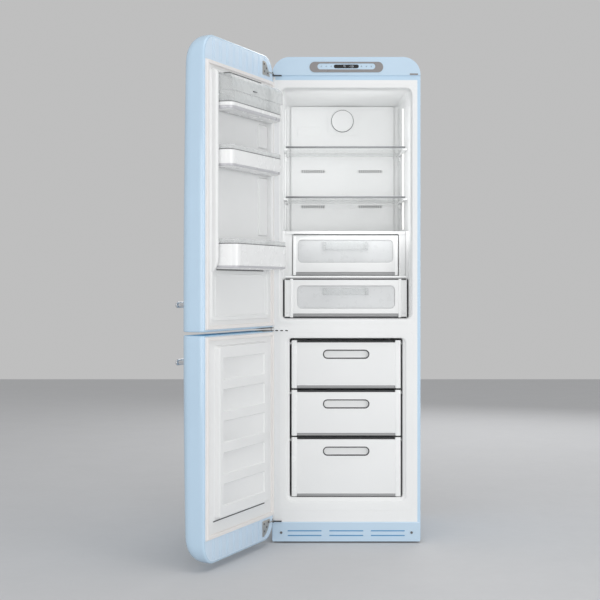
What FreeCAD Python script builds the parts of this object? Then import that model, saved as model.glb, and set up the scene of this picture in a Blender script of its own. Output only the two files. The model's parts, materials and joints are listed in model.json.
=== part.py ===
"""Bottom-freezer refrigerator with rounded doors, as separate sub-parts in millimetres.

The origin is on the floor, midway across the cabinet, in the plane of the cabinet's front edge.
+X points to the right as seen from the front, +Y into the cabinet, and +Z up.
Both doors hang on the left. They are built closed and then swung open about their hinge pins.
"""

import math
import os

import FreeCAD
import Part

Vector = FreeCAD.Vector

# ---- driving dimensions: cabinet ----
HALF_WIDTH = 300.5
HEIGHT = 1968.0
DEPTH = 596.0
BODY_BOTTOM = 12.0
TOP_RADIUS = 72.0
SHEET = 1.0
LIP = 12.5
REAR_SHEET = 2.0
FOAM_BACK = DEPTH - REAR_SHEET
SPLIT_Z = 868.0
RAIL_BOTTOM = 1875.0
FASCIA_BOTTOM = 1894.0
FASCIA_FRONT = -4.0
FLANGE_BOTTOM = 83.0
FLANGE = 2.0

# ---- driving dimensions: the two compartments ----
FRIDGE_HALF = 266.0
FRIDGE_FLOOR = 908.0
FRIDGE_CEILING = 1838.0
FRIDGE_BACK = 490.0
FRIDGE_FLARE = 26.0
FREEZER_HALF = 240.0
FREEZER_INNER_HALF = 229.0
FREEZER_FLOOR = 183.0
FREEZER_CEILING = 829.0
FREEZER_FLARE = 14.0
STEP_FRONT = 345.0
STEP_TOP = 300.0
LINER = 2.0
BAY_FRONT = 392.0
BAY_TOP = 262.0

# ---- driving dimensions: inside the fridge ----
SHELF_LEVELS = {"shelf_upper": 1613.0, "shelf_lower": 1407.0}
SHELF_HALF = 246.5
SHELF_FRONT = 86.0
SHELF_REAR = 452.0
COVER_TOP = 1266.0
COVER_HALF = 249.0
CHEEK_HALF = 221.0
CRISPER_LID = 1074.0
DRAWER_WALL = 2.5
DUCT_HALF = 226.0
DUCT_FRONT = 476.0
FAN_Z = 1771.0
FAN_COVER_RADIUS = 49.0
LED_Y = 260.0
LED_LOW, LED_HIGH = 1280.0, 1794.0

# ---- driving dimensions: doors ----
INNER_FACE = -11.0
DOOR_FRONT = -104.0
DOOR_SKIN = 1.2
END_RADIUS = 80.0
PROFILE_RADIUS = 74.0
SIDE_RADIUS = 28.0
SPLIT_RADIUS = 5.0
CAP_DEPTH = 12.0
CAP_HEIGHT = 95.0
GASKET_WIDTH = 15.0
GASKET_FRONT = -0.4
UPPER_DOOR = {"split": 873.0, "end": 1960.0}
LOWER_DOOR = {"split": 860.0, "end": 25.0}
PIN_X, PIN_Y, PIN_RADIUS = -300.0, -16.0, 4.0
EYE_RADIUS = 7.0
PIN_HOLE = 4.06
REST_ANGLE = -113.4
TOP_BRACKET_Z = 1890.0
LOW_BRACKET_Z = 86.0
MID_BRACKET_Z = 864.0
BRACKET = 4.0
PIN_LENGTH = 11.0
DYKE_IN, DYKE_OUT, DYKE_TIP = 231.0, 248.0, 16.0
FREEZER_PLUG = 22.0
PLUG_LOW, PLUG_HIGH = 915.0, 1834.0
BALCONY_HALF = 226.0
BALCONIES = {
    "balcony_top": {"low": 1685.0, "rim": 1755.0, "front": 65.0},
    "balcony_middle": {"low": 1476.0, "rim": 1559.0, "front": 65.0},
    "balcony_bottom": {"low": 1103.0, "rim": 1214.0, "front": 87.0},
}
LID_PIVOT_Y, LID_PIVOT_Z = 4.0, 1823.0
HANDLE_X, HANDLE_LENGTH, HANDLE_REACH, HANDLE_TALL = 155.0, 230.0, 43.0, 23.0
HANDLE_LEVELS = {"upper_door": 971.0, "lower_door": 760.0}


# ---- geometry helpers ----
def block(x0, x1, y0, y1, z0, z1):
    """Plain box between two opposite corners."""
    return Part.makeBox(x1 - x0, y1 - y0, z1 - z0, Vector(x0, y0, z0))


def mirrored(shape):
    """The shape and its mirror image across the cabinet's middle."""
    return [shape, shape.mirror(Vector(0, 0, 0), Vector(1, 0, 0))]


def joined(shapes):
    """One solid made of overlapping or touching shapes."""
    return shapes[0].fuse(shapes[1:]).removeSplitter()


def outline(u0, u1, v0, v1, radii, place):
    """Closed wire round a rectangle. radii start at the low corner and run anticlockwise."""
    corners = [(u0, v0, 1, 1), (u1, v0, -1, 1), (u1, v1, -1, -1), (u0, v1, 1, -1)]
    edges = []
    stops = []
    for turn, ((u, v, su, sv), r) in enumerate(zip(corners, radii)):
        beside = (u + su * r, v)
        above = (u, v + sv * r)
        arrive, leave = (above, beside) if turn % 2 == 0 else (beside, above)
        bulge = r * (1 - math.sqrt(0.5))
        stops.append((place(*arrive), place(u + su * bulge, v + sv * bulge), place(*leave), r))
    for turn, (arrive, middle, leave, r) in enumerate(stops):
        if r > 0:
            edges.append(Part.Arc(arrive, middle, leave).toShape())
        onward = stops[(turn + 1) % 4][0]
        edges.append(Part.LineSegment(leave, onward).toShape())
    return Part.Wire(edges)


def four(radii):
    """Four corner radii from one number or from four."""
    return radii if isinstance(radii, tuple) else (radii,) * 4


def front_slab(x0, x1, z0, z1, y0, y1, radii=0.0):
    """Outline seen from the front, pushed back from y0 to y1."""
    wire = outline(x0, x1, z0, z1, four(radii), lambda u, v: Vector(u, y0, v))
    return Part.Face(wire).extrude(Vector(0, y1 - y0, 0))


def plan_slab(x0, x1, y0, y1, z0, z1, radii=0.0):
    """Outline seen from above, raised from z0 to z1."""
    wire = outline(x0, x1, y0, y1, four(radii), lambda u, v: Vector(u, v, z0))
    return Part.Face(wire).extrude(Vector(0, 0, z1 - z0))


def side_slab(y0, y1, z0, z1, x0, x1, radii=0.0):
    """Outline seen from the side, drawn out from x0 to x1."""
    wire = outline(y0, y1, z0, z1, four(radii), lambda u, v: Vector(x0, u, v))
    return Part.Face(wire).extrude(Vector(x1 - x0, 0, 0))


def funnel(front, back, y0, y1):
    """Solid that narrows from one front outline to another. Each is (half width, low, high, radius)."""
    wires = []
    for (half, low, high, radius), y in ((front, y0), (back, y1)):
        wires.append(outline(-half, half, low, high, (radius,) * 4, lambda u, v, y=y: Vector(u, y, v)))
    return Part.makeLoft(wires, True)


def rod(x, y, z, radius, length, axis):
    """Cylinder from a point along an axis."""
    return Part.makeCylinder(radius, length, Vector(x, y, z), axis)


UP, BACK, RIGHT = Vector(0, 0, 1), Vector(0, 1, 0), Vector(1, 0, 0)


def open_bin(half, y0, y1, low, rim, wall, radii):
    """Bin with an open top."""
    outside = plan_slab(-half, half, y0, y1, low, rim, radii)
    inner = tuple(max(r - wall, 0.5) for r in radii)
    inside = plan_slab(wall - half, half - wall, y0 + wall, y1 - wall, low + wall, rim + 1, inner)
    return outside.cut(inside)


def save(name, shape):
    """Write one sub-part."""
    shape.exportStep("parts/" + name + ".step")


def swung(shape):
    """A door piece carried from closed to its resting angle about the hinge pins."""
    turned = shape.copy()
    turned.rotate(Vector(PIN_X, PIN_Y, 0), UP, REST_ANGLE)
    return turned


# ---- cabinet body ----
def arch(inset, y0, y1, low=BODY_BOTTOM):
    """The cabinet's outer outline with its two rounded top corners."""
    half = HALF_WIDTH - inset
    radius = TOP_RADIUS - inset
    return front_slab(-half, half, low, HEIGHT - inset, y0, y1, (0.0, 0.0, radius, radius))


def outer_wrapper():
    """Painted sheet over both sides and the top, with a lip and a top rail turned in at the front."""
    sheet = arch(0, 0, FOAM_BACK).cut(arch(SHEET, -1, FOAM_BACK + 1, BODY_BOTTOM - 1))
    inner_half = HALF_WIDTH - LIP
    lip = arch(0, 0, SHEET).cut(block(-inner_half, inner_half, -1, 2, 0, RAIL_BOTTOM))
    return joined([sheet, lip])


def rear_panel():
    """Flat back sheet, down to the compressor bay."""
    return arch(0, FOAM_BACK, DEPTH, BAY_TOP)


def ring_blocks(half_out, half_in, low, high, in_low, in_high, y0, y1):
    """Four blocks round an opening, each touching the next face to face."""
    return [
        block(-half_out, -half_in, y0, y1, low, high),
        block(half_in, half_out, y0, y1, low, high),
        block(-half_in, half_in, y0, y1, low, in_low),
        block(-half_in, half_in, y0, y1, in_high, high),
    ]


def insulation_foam():
    """Foam between the wrapper and the liners, in plain blocks that touch face to face."""
    side = HALF_WIDTH - SHEET
    foam_floor = 64.0
    low_front = FLANGE_BOTTOM + 2
    fridge_front = (268.0, 904.0, 1858.0)
    fridge_deep = (260.0, FRIDGE_FLOOR - LINER, FRIDGE_CEILING + LINER)
    freezer_front = (242.0, 167.0, FREEZER_CEILING + LINER)
    freezer_deep = (FREEZER_INNER_HALF + LINER, FREEZER_FLOOR - LINER, FREEZER_CEILING + LINER)
    blocks = [arch(SHEET, FLANGE, FOAM_BACK, FASCIA_BOTTOM)]
    for (half, low, high), y0, y1 in (
        (fridge_front, FLANGE, FRIDGE_FLARE),
        (fridge_deep, FRIDGE_FLARE, FRIDGE_BACK + LINER),
    ):
        blocks += ring_blocks(side, half, SPLIT_Z, FASCIA_BOTTOM, low, high, y0, y1)
    blocks.append(block(-side, side, FRIDGE_BACK + LINER, FOAM_BACK, SPLIT_Z, FASCIA_BOTTOM))
    half, low, high = freezer_front
    blocks += ring_blocks(side, half, low_front, SPLIT_Z, low, high, FLANGE, FREEZER_FLARE + LINER)
    half, low, high = freezer_deep
    shallow = (FREEZER_FLARE + LINER, STEP_FRONT + LINER)
    blocks += ring_blocks(side, half, foam_floor + 26, SPLIT_Z, low, high, *shallow)
    step_low = STEP_TOP - LINER
    blocks.append(block(-side, side, STEP_FRONT + LINER, BAY_FRONT, foam_floor + 26, step_low))
    blocks.append(block(-side, side, BAY_FRONT, FOAM_BACK, BAY_TOP, step_low))
    blocks += mirrored(block(half, side, STEP_FRONT + LINER, FRIDGE_BACK + LINER, step_low, SPLIT_Z))
    blocks.append(block(-half, half, STEP_FRONT + LINER, FRIDGE_BACK + LINER, high, SPLIT_Z))
    blocks.append(block(-side, side, FRIDGE_BACK + LINER, FOAM_BACK, step_low, SPLIT_Z))
    return Part.makeCompound(blocks)


def shelf_ribs(level):
    """Moulded ribs on both side walls that carry one shelf, with a gap for the light strip."""
    top = level - 3.3
    ribs = []
    for y0, y1 in ((104.0, LED_Y - 10), (LED_Y + 10, 436.0)):
        ribs += mirrored(block(240, 261, y0, y1, top - 7, top))
    return ribs


def fridge_liner():
    """White moulded tub of the fridge, with its front flange and the shelf ribs."""
    flange_half = HALF_WIDTH - LIP
    flange = block(-flange_half, flange_half, 0, FLANGE, SPLIT_Z, RAIL_BOTTOM)
    front = block(-268, 268, FLANGE, FRIDGE_FLARE, 904, 1858)
    deep = block(-260, 260, FRIDGE_FLARE, FRIDGE_BACK + LINER, FRIDGE_FLOOR - LINER, FRIDGE_CEILING + LINER)
    mouth = (FRIDGE_HALF, 906.0, 1842.0, 26.0)
    throat = (258.0, FRIDGE_FLOOR, FRIDGE_CEILING, 10.0)
    rear = (250.0, FRIDGE_FLOOR, FRIDGE_CEILING, 12.0)
    hollow = funnel(mouth, throat, 0, FRIDGE_FLARE).fuse(funnel(throat, rear, FRIDGE_FLARE, FRIDGE_BACK))
    tub = joined([flange, front, deep]).cut(hollow)
    ribs = []
    for level in SHELF_LEVELS.values():
        ribs += shelf_ribs(level)
    trimmed = [rib.common(deep) for rib in ribs]
    return joined([tub] + trimmed)


def freezer_runner_z():
    """Heights of the drawer runner ribs in the freezer."""
    return [rim - 12 for _, _, rim, _ in FREEZER_DRAWERS]


def freezer_liner():
    """White moulded tub of the freezer, stepped over the compressor bay, with runner ribs."""
    flange_half = HALF_WIDTH - LIP
    outer_half = FREEZER_INNER_HALF + LINER
    flange = block(-flange_half, flange_half, 0, FLANGE, FLANGE_BOTTOM, SPLIT_Z)
    front = block(-242, 242, FLANGE, FREEZER_FLARE + LINER, 167, FREEZER_CEILING + LINER)
    deep = block(-outer_half, outer_half, FREEZER_FLARE + LINER, STEP_FRONT + LINER,
                 FREEZER_FLOOR - LINER, FREEZER_CEILING + LINER)
    rear = block(-outer_half, outer_half, STEP_FRONT, FRIDGE_BACK + LINER,
                 STEP_TOP - LINER, FREEZER_CEILING + LINER)
    mouth = (FREEZER_HALF, 169.0, FREEZER_CEILING, 22.0)
    throat = (FREEZER_INNER_HALF, FREEZER_FLOOR, FREEZER_CEILING, 6.0)
    half = FREEZER_INNER_HALF
    hollows = [
        funnel(mouth, throat, 0, FREEZER_FLARE),
        front_slab(-half, half, FREEZER_FLOOR, FREEZER_CEILING, FREEZER_FLARE, STEP_FRONT, 6.0),
        block(-half, half, STEP_FRONT - 8, FRIDGE_BACK, STEP_TOP, FREEZER_CEILING - 6),
    ]
    tub = joined([flange, front, deep, rear])
    for hollow in hollows:
        tub = tub.cut(hollow)
    ribs = []
    for z in freezer_runner_z():
        ribs += mirrored(block(220.5, outer_half, 40, STEP_FRONT - 12, z - 6, z))
    bracket_notch = block(-HALF_WIDTH, -261, -1, FLANGE + 1, LOW_BRACKET_Z - 4, LOW_BRACKET_Z + BRACKET + 1)
    return joined([tub] + ribs).cut(bracket_notch)


# ---- control panel above the fridge opening ----
def pill(width, height, z, y0, y1):
    """Flat pill centred on the cabinet."""
    half = width / 2
    return front_slab(-half, half, z - height / 2, z + height / 2, y0, y1, height / 2 - 0.01)


BEZEL_Z, PLATE_Z = 1927.0, 1929.5


def control_fascia():
    """Painted panel across the top front, with a recess for the bezel and one for the hinge leg."""
    panel = arch(0, FASCIA_FRONT, 0, FASCIA_BOTTOM)
    recess = pill(298.4, 42.4, BEZEL_Z, FASCIA_FRONT - 1, -1)
    leg = block(-292, -261, -2.2, 1, FASCIA_BOTTOM - 1, FASCIA_BOTTOM + 36)
    return panel.cut(recess).cut(leg)


def control_bezel():
    """Grey pill-shaped frame of the control panel."""
    return pill(298, 42, BEZEL_Z, -6, -1).cut(pill(234.4, 24.4, PLATE_Z, -7, 0))


def control_plate():
    """Touch plate inside the bezel, with the display's opening."""
    return pill(234, 24, PLATE_Z, -4.5, -1).cut(pill(101.4, 15.4, PLATE_Z, -5, 0))


def display_window():
    """Dark display window."""
    return pill(101, 15, PLATE_Z, -5, -1)


# ---- fittings inside the fridge ----
def air_duct_panel():
    """Cover of the cold-air duct on the back wall, with four outlets and a pocket for the fan."""
    panel = front_slab(-DUCT_HALF, DUCT_HALF, 914, 1834, DUCT_FRONT, FRIDGE_BACK - 0.3, 6.0)
    for z in (1547.0, 1391.0):
        for x in (-130.0, 123.0):
            panel = panel.cut(front_slab(x - 53, x + 53, z - 6, z + 6, DUCT_FRONT - 1, FRIDGE_BACK, 3.0))
    pocket = rod(0, DUCT_FRONT + 2, FAN_Z, 52, 20, BACK)
    pin_hole = rod(0, DUCT_FRONT - 1, FAN_Z, 3.4, 10, BACK)
    return panel.cut(pocket).cut(pin_hole)


def fan_cover():
    """Raised square plate with a round cap, and the fan's pin behind it."""
    plate = front_slab(-65, 65, 1706, 1833, DUCT_FRONT - 3, DUCT_FRONT, 6.0)
    groove = rod(0, DUCT_FRONT - 4, FAN_Z, FAN_COVER_RADIUS + 1.5, 3, BACK)
    cap = rod(0, DUCT_FRONT - 6, FAN_Z, FAN_COVER_RADIUS - 1, 6, BACK)
    cap = cap.makeFillet(1.5, [cap.Edges[0], cap.Edges[2]])
    pin = rod(0, DUCT_FRONT - 1, FAN_Z, 3, 12, BACK)
    return joined([plate.cut(groove), cap, pin])


def fridge_fan():
    """Five-bladed fan on its hub."""
    y0, depth = DUCT_FRONT + 3, 9.0
    pieces = [rod(0, y0, FAN_Z, 15, depth, BACK)]
    for turn in range(5):
        blade = block(-11, 11, -1, 1, 12, 46)
        blade.rotate(Vector(0, 0, 0), UP, 18)
        blade.translate(Vector(0, y0 + depth / 2, 0))
        blade.rotate(Vector(0, 0, 0), BACK, 72 * turn)
        blade.translate(Vector(0, 0, FAN_Z))
        pieces.append(blade)
    return joined(pieces).cut(rod(0, y0 - 1, FAN_Z, 3.06, depth + 2, BACK))


def led_strips():
    """Upright light strip on each side wall, in front of the wall's taper."""
    return Part.makeCompound(mirrored(block(248, 253.5, LED_Y - 5, LED_Y + 5, LED_LOW, LED_HIGH)))


def shelf_glass(level):
    """Glass plate of a shelf."""
    return plan_slab(-SHELF_HALF, SHELF_HALF, SHELF_FRONT + 4, SHELF_REAR - 4, level - 3, level + 2, 4.0)


def shelf_trims(level):
    """Front rail and raised rear rail gripped on a shelf's glass."""
    front = side_slab(SHELF_FRONT, SHELF_FRONT + 10, level - 5, level + 4, -SHELF_HALF, SHELF_HALF, 3.0)
    rear = side_slab(SHELF_REAR - 12, SHELF_REAR, level - 3, level + 12, -SHELF_HALF, SHELF_HALF, 3.0)
    glass = shelf_glass(level)
    return Part.makeCompound([front.cut(glass), rear.cut(glass)])


def drawer_cover_glass():
    """Glass of the fixed shelf over the drawers."""
    return plan_slab(-238, 238, 108, 428, COVER_TOP - 6, COVER_TOP - 1, 8.0)


def drawer_cover_frame():
    """Fixed frame round the upper drawer: a rim for the glass, two cheeks and the crisper's cover."""
    rim_low = COVER_TOP - 12
    rim = plan_slab(-COVER_HALF, COVER_HALF, 92, 440, rim_low, COVER_TOP, 4.0)
    seat = plan_slab(-238.3, 238.3, 107.7, 428.3, COVER_TOP - 6.3, COVER_TOP + 1, 8.0)
    through = plan_slab(-230, 230, 116, 420, rim_low - 1, COVER_TOP, 6.0)
    cheeks = mirrored(block(CHEEK_HALF, COVER_HALF, 96, 440, CRISPER_LID + 8, rim_low))
    cover = plan_slab(-COVER_HALF, COVER_HALF, 62, 440, CRISPER_LID, CRISPER_LID + 8, 3.0)
    return joined([rim.cut(seat).cut(through), cover] + cheeks)


def fridge_drawer_front(half, y0, low, high, window, handle):
    """Drawer front: a frame round a window, with a bar handle across the window's upper part."""
    panel = front_slab(-half, half, low, high, y0, y0 + 9, 5.0)
    window_half, window_low, window_high = window
    panel = panel.cut(front_slab(-window_half, window_half, window_low, window_high, y0 - 1, y0 + 6, 18.0))
    handle_low, handle_high = handle
    bar = side_slab(y0 - 8, y0 - 3, handle_low, handle_high, -92, 92, 2.0)
    feet = mirrored(block(80, 92, y0 - 5, y0 + 7, handle_low, handle_high))
    return joined([panel, bar] + feet)


FRESH = {"half": CHEEK_HALF - 3, "front": 100.0, "low": 1084.0, "high": 1250.0, "rear": 430.0}
CRISPER = {"half": 251.0, "front": 60.0, "low": 910.5, "high": 1071.0, "rear": 440.0}


def fridge_drawer_bin(drawer, half):
    """Clear bin behind a fridge drawer's front."""
    front = drawer["front"] + 9
    return open_bin(half, front, drawer["rear"], drawer["low"] + 1, drawer["high"] - 4, DRAWER_WALL,
                    (12.0, 12.0, 12.0, 12.0))


# ---- freezer ----
# name, bottom, rim and rear end of each drawer
FREEZER_DRAWERS = [
    ("top", 625.0, 820.0, 432.0),
    ("middle", 432.0, 618.0, 432.0),
    ("bottom", 185.5, 426.0, 338.0),
]
FREEZER_FRONT = 15.0
FREEZER_FRONT_HALF = 222.0
PULL_HALF, PULL_TALL, PULL_DROP = 93.0, 34.0, 57.0


def freezer_drawer_front(low, rim):
    """Drawer front with a pill-shaped finger pocket."""
    y0 = FREEZER_FRONT
    panel = front_slab(-FREEZER_FRONT_HALF, FREEZER_FRONT_HALF, low, rim, y0, y0 + 22, 6.0)
    centre = rim - PULL_DROP
    half, tall = PULL_HALF - 4, PULL_TALL / 2 - 4
    pocket = front_slab(-half, half, centre - tall, centre + tall, y0 - 1, y0 + 17, 12.0)
    return panel.cut(pocket)


def freezer_drawer_bin(low, rim, rear):
    """Bin behind a freezer drawer's front, with side flanges that ride on the runner ribs."""
    front = FREEZER_FRONT + 22
    tub = open_bin(216, front, rear, low + 1, rim - 4, DRAWER_WALL, (4.0, 4.0, 14.0, 14.0))
    flanges = mirrored(block(215, 226, front + 1, rear - 16, rim - 11.6, rim - 8))
    return joined([tub] + flanges)


def freezer_back_panel():
    """Panel in front of the evaporator, with air slots."""
    panel = front_slab(-226, 226, 304, 820, 446, 458, 4.0)
    for z in (780.0, 590.0, 400.0):
        for x in (-110.0, 110.0):
            panel = panel.cut(front_slab(x - 60, x + 60, z - 5, z + 5, 440, 460, 4.9))
    return panel


def evaporator():
    """Finned evaporator: three tubes through upright fins."""
    pieces = [rod(-190, 474, z, 4, 380, RIGHT) for z in (440.0, 540.0, 640.0)]
    for turn in range(16):
        x = -175 + turn * 350 / 15
        pieces.append(block(x - 0.6, x + 0.6, 462, 486, 410, 670))
    return joined(pieces)


# ---- base and machinery ----
TRAY_Z, TRAY_FRONT = 16.0, 1.2
FOOT_X, FOOT_Y = 250.0, 50.0
ROLLER_X, ROLLER_Y, ROLLER_RADIUS = 235.0, 560.0, 20.0


def base_tray():
    """Floor sheet with flanges, stem holes for the feet, and ears with pins for the rollers."""
    plate = block(-299, 299, TRAY_FRONT, FOAM_BACK, TRAY_Z, TRAY_Z + 2)
    flanges = mirrored(block(297.5, 299, TRAY_FRONT, FOAM_BACK, TRAY_Z, TRAY_Z + 44))
    flanges.append(block(-258, 258, TRAY_FRONT, TRAY_FRONT + 1.5, TRAY_Z, TRAY_Z + 44))
    tray = joined([plate] + flanges)
    for side in (-1, 1):
        tray = tray.cut(rod(side * FOOT_X, FOOT_Y, TRAY_Z - 1, 5.2, 4, UP))
        x = side * ROLLER_X
        tray = tray.cut(block(x - 11, x + 11, ROLLER_Y - 23, ROLLER_Y + 23, TRAY_Z - 1, TRAY_Z + 3))
        ears = []
        for ear in (x - 13, x + 13):
            ears.append(block(ear - 2, ear + 2, ROLLER_Y - 12, ROLLER_Y + 12, 10, 32))
        pin = rod(x - 14, ROLLER_Y, ROLLER_RADIUS, 4, 28, RIGHT)
        tray = joined([tray, pin] + ears)
    return tray


def foot(side):
    """Levelling foot: pad, hexagon and threaded stem."""
    x = side * FOOT_X
    pad = rod(x, FOOT_Y, 0, 21, 7, UP)
    pad = pad.makeFillet(2.0, [pad.Edges[0], pad.Edges[2]])
    corners = []
    for k in range(7):
        angle = math.radians(60 * k)
        corners.append(Vector(x + 10 * math.cos(angle), FOOT_Y + 10 * math.sin(angle), 6))
    nut = Part.Face(Part.makePolygon(corners)).extrude(Vector(0, 0, 7))
    stem = rod(x, FOOT_Y, 6, 5, 46, UP)
    return joined([pad, nut, stem])


def rear_rollers():
    """Two wheels on one line across the cabinet."""
    wheels = []
    for side in (-1, 1):
        x = side * ROLLER_X
        wheel = rod(x - 8, ROLLER_Y, ROLLER_RADIUS, ROLLER_RADIUS, 16, RIGHT)
        wheels.append(wheel.cut(rod(x - 9, ROLLER_Y, ROLLER_RADIUS, 4.06, 18, RIGHT)))
    return Part.makeCompound(wheels)


def compressor():
    """Domed compressor shell on its foot plate and four mounts."""
    x, y = 95.0, 490.0
    shell = rod(x, y, 44, 66, 140, UP)
    shell = shell.makeFillet(42.0, [shell.Edges[0], shell.Edges[2]])
    plate = plan_slab(x - 95, x + 95, y - 50, y + 50, 36, 39, 12.0)
    neck = rod(x, y, 38, 38, 12, UP)
    mounts = [rod(x + sx * 80, y + sy * 36, TRAY_Z + 2, 9, 19, UP) for sx in (-1, 1) for sy in (-1, 1)]
    box = block(x + 52, x + 84, y - 24, y + 24, 90, 140)
    return joined([shell, plate, neck, box] + mounts)


def condenser_coil():
    """Serpentine condenser tube standing in the machinery bay, with two support wires."""
    radius, x0, x1, y, pitch, low = 3.0, -215.0, -45.0, 500.0, 30.0, 45.0
    runs = 7
    pieces = []
    for row in range(runs):
        z = low + row * pitch
        pieces.append(rod(x0, y, z, radius, x1 - x0, RIGHT))
        if row < runs - 1:
            bend = Part.makeTorus(pitch / 2, radius, Vector(0, 0, 0), BACK, 0, 360, 180)
            if row % 2:
                bend.rotate(Vector(0, 0, 0), BACK, 90)
            else:
                bend.rotate(Vector(0, 0, 0), BACK, -90)
            bend.translate(Vector(x0 if row % 2 else x1, y, z + pitch / 2))
            pieces.append(bend)
    for x in (-180.0, -80.0):
        pieces.append(rod(x, y, TRAY_Z + 2, 2, low + (runs - 1) * pitch - TRAY_Z, UP))
    return joined(pieces)


SCREW_X, SCREW_Z = 264.0, 42.0


def plinth():
    """Painted kick panel with six air slots and two screw holes."""
    panel = front_slab(-299, 299, 6, 81, -3, 0, 3.0)
    for z in (49.0, 30.0):
        for x in (-169.0, 0.0, 168.0):
            panel = panel.cut(front_slab(x - 69, x + 69, z - 2.5, z + 2.5, -4, 1, 2.4))
    for side in (-1, 1):
        panel = panel.cut(rod(side * SCREW_X, -4, SCREW_Z, 2.6, 5, BACK))
    return panel


def plinth_screws():
    """Two round-headed screws through the kick panel."""
    screws = []
    for side in (-1, 1):
        x = side * SCREW_X
        head = rod(x, -5.5, SCREW_Z, 5, 2.5, BACK)
        shank = rod(x, -4, SCREW_Z, 2.5, 4.2, BACK)
        cross = block(x - 3, x + 3, -6, -4.5, SCREW_Z - 0.6, SCREW_Z + 0.6)
        upright = block(x - 0.6, x + 0.6, -6, -4.5, SCREW_Z - 3, SCREW_Z + 3)
        screws.append(joined([head, shank]).cut(cross).cut(upright))
    return Part.makeCompound(screws)


# ---- hinge brackets on the cabinet ----
def bracket_arm(z, x1):
    """Flat arm from the cabinet front out to the pin, rounded about the pin."""
    reach = block(PIN_X - EYE_RADIUS, x1, PIN_Y, 0, z, z + BRACKET)
    nose = rod(PIN_X, PIN_Y, z, EYE_RADIUS, BRACKET, UP)
    spare = block(PIN_X + 9, x1 + 1, PIN_Y - 20, -10, z - 1, z + BRACKET + 1)
    return joined([reach, nose]).cut(spare)


def hinge_top():
    """Top bracket: arm, upright leg behind the fascia, and a pin pointing up."""
    leg = block(-291, -262, -2, 0, TOP_BRACKET_Z, FASCIA_BOTTOM + 34)
    pin = rod(PIN_X, PIN_Y, TOP_BRACKET_Z, PIN_RADIUS, BRACKET + PIN_LENGTH, UP)
    return joined([bracket_arm(TOP_BRACKET_Z, -262), leg, pin])


def hinge_middle():
    """Middle bracket: slotted face plate, arm in the gap between the doors, and a pin each way."""
    plate = front_slab(-297, -226, 856, 876, -2, 0, 3.0)
    for x in (-282.0, -262.0, -242.0):
        plate = plate.cut(front_slab(x - 6, x + 6, 857.5, 862.5, -3, 1, 2.4))
    low, high = LOWER_DOOR["split"] + 0.6, UPPER_DOOR["split"] - 0.6
    pin = rod(PIN_X, PIN_Y, low, PIN_RADIUS, high - low, UP)
    return joined([plate, bracket_arm(MID_BRACKET_Z, -272), pin])


def hinge_bottom():
    """Bottom bracket: arm, leg down behind the kick panel, and a pin pointing up."""
    leg = block(-287, -262, 0.3, FLANGE, 40, LOW_BRACKET_Z + BRACKET)
    root = block(-287, -262, -1, FLANGE, LOW_BRACKET_Z, LOW_BRACKET_Z + BRACKET)
    pin = rod(PIN_X, PIN_Y, LOW_BRACKET_Z, PIN_RADIUS, BRACKET + PIN_LENGTH, UP)
    return joined([bracket_arm(LOW_BRACKET_Z, -262), root, leg, pin])


# ---- doors, built closed ----
def door_solid(door, inset, back):
    """Rounded door block, drawn in by inset on every side but its back."""
    toward_end = 1 if door["end"] > door["split"] else -1
    split = door["split"] + toward_end * inset
    end = door["end"] - toward_end * inset
    low, high = min(split, end), max(split, end)
    half = HALF_WIDTH - inset
    front = DOOR_FRONT + inset
    end_r, split_r = END_RADIUS - inset, max(SPLIT_RADIUS - inset, 0.0)
    profile_r, side_r = PROFILE_RADIUS - inset, SIDE_RADIUS - inset
    if toward_end > 0:
        face_radii = (split_r, split_r, end_r, end_r)
        profile_radii = (split_r, 0.0, 0.0, profile_r)
    else:
        face_radii = (end_r, end_r, split_r, split_r)
        profile_radii = (profile_r, 0.0, 0.0, split_r)
    face = front_slab(-half, half, low, high, front, back, face_radii)
    profile = side_slab(front, back, low, high, -half, half, profile_radii)
    plan = plan_slab(-half, half, front, back, low, high, (side_r, side_r, 0.0, 0.0))
    return face.common(profile).common(plan)


def cap_zone(door, y0, y1):
    """Block round the far end of a door, from the gasket outwards."""
    if door["end"] > door["split"]:
        return block(-310, 310, y0, y1, door["end"] - CAP_HEIGHT, door["end"] + 10)
    return block(-310, 310, y0, y1, door["end"] - 10, door["end"] + CAP_HEIGHT - 4)


def hinge_pocket(door):
    """Room in a door's corner for the end bracket."""
    low = (TOP_BRACKET_Z if door["end"] > door["split"] else LOW_BRACKET_Z) - 6
    return block(-HALF_WIDTH - 1, PIN_X + 15, PIN_Y - 18, INNER_FACE + 4, low, low + 26)


def without(shape, cuts):
    """The shape with every cut taken away."""
    for tool in cuts:
        shape = shape.cut(tool)
    return shape


def door_skin(door):
    """Painted outer shell of a door."""
    shell = door_solid(door, 0, INNER_FACE).cut(door_solid(door, DOOR_SKIN, INNER_FACE + 1))
    return shell.cut(hinge_pocket(door))


def door_foam(door):
    """Foam filling of a door."""
    core = door_solid(door, DOOR_SKIN, INNER_FACE - LINER)
    cap_room = cap_zone(door, INNER_FACE - CAP_DEPTH, INNER_FACE + 1)
    return without(core, [cap_room, hinge_pocket(door)])


def door_end_cap(door):
    """Ribbed moulding across the far end of a door's inner side."""
    body = door_solid(door, DOOR_SKIN, INNER_FACE)
    cap = body.common(cap_zone(door, INNER_FACE - CAP_DEPTH, INNER_FACE))
    low, high = cap.BoundBox.ZMin, cap.BoundBox.ZMax
    grooves = []
    for turn in range(9):
        x = (turn - 4) * 59.0
        grooves.append(block(x - 1, x + 1, INNER_FACE - 1, INNER_FACE + 1, low + 12, high - 12))
    return without(cap, grooves + [hinge_pocket(door)])


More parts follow.
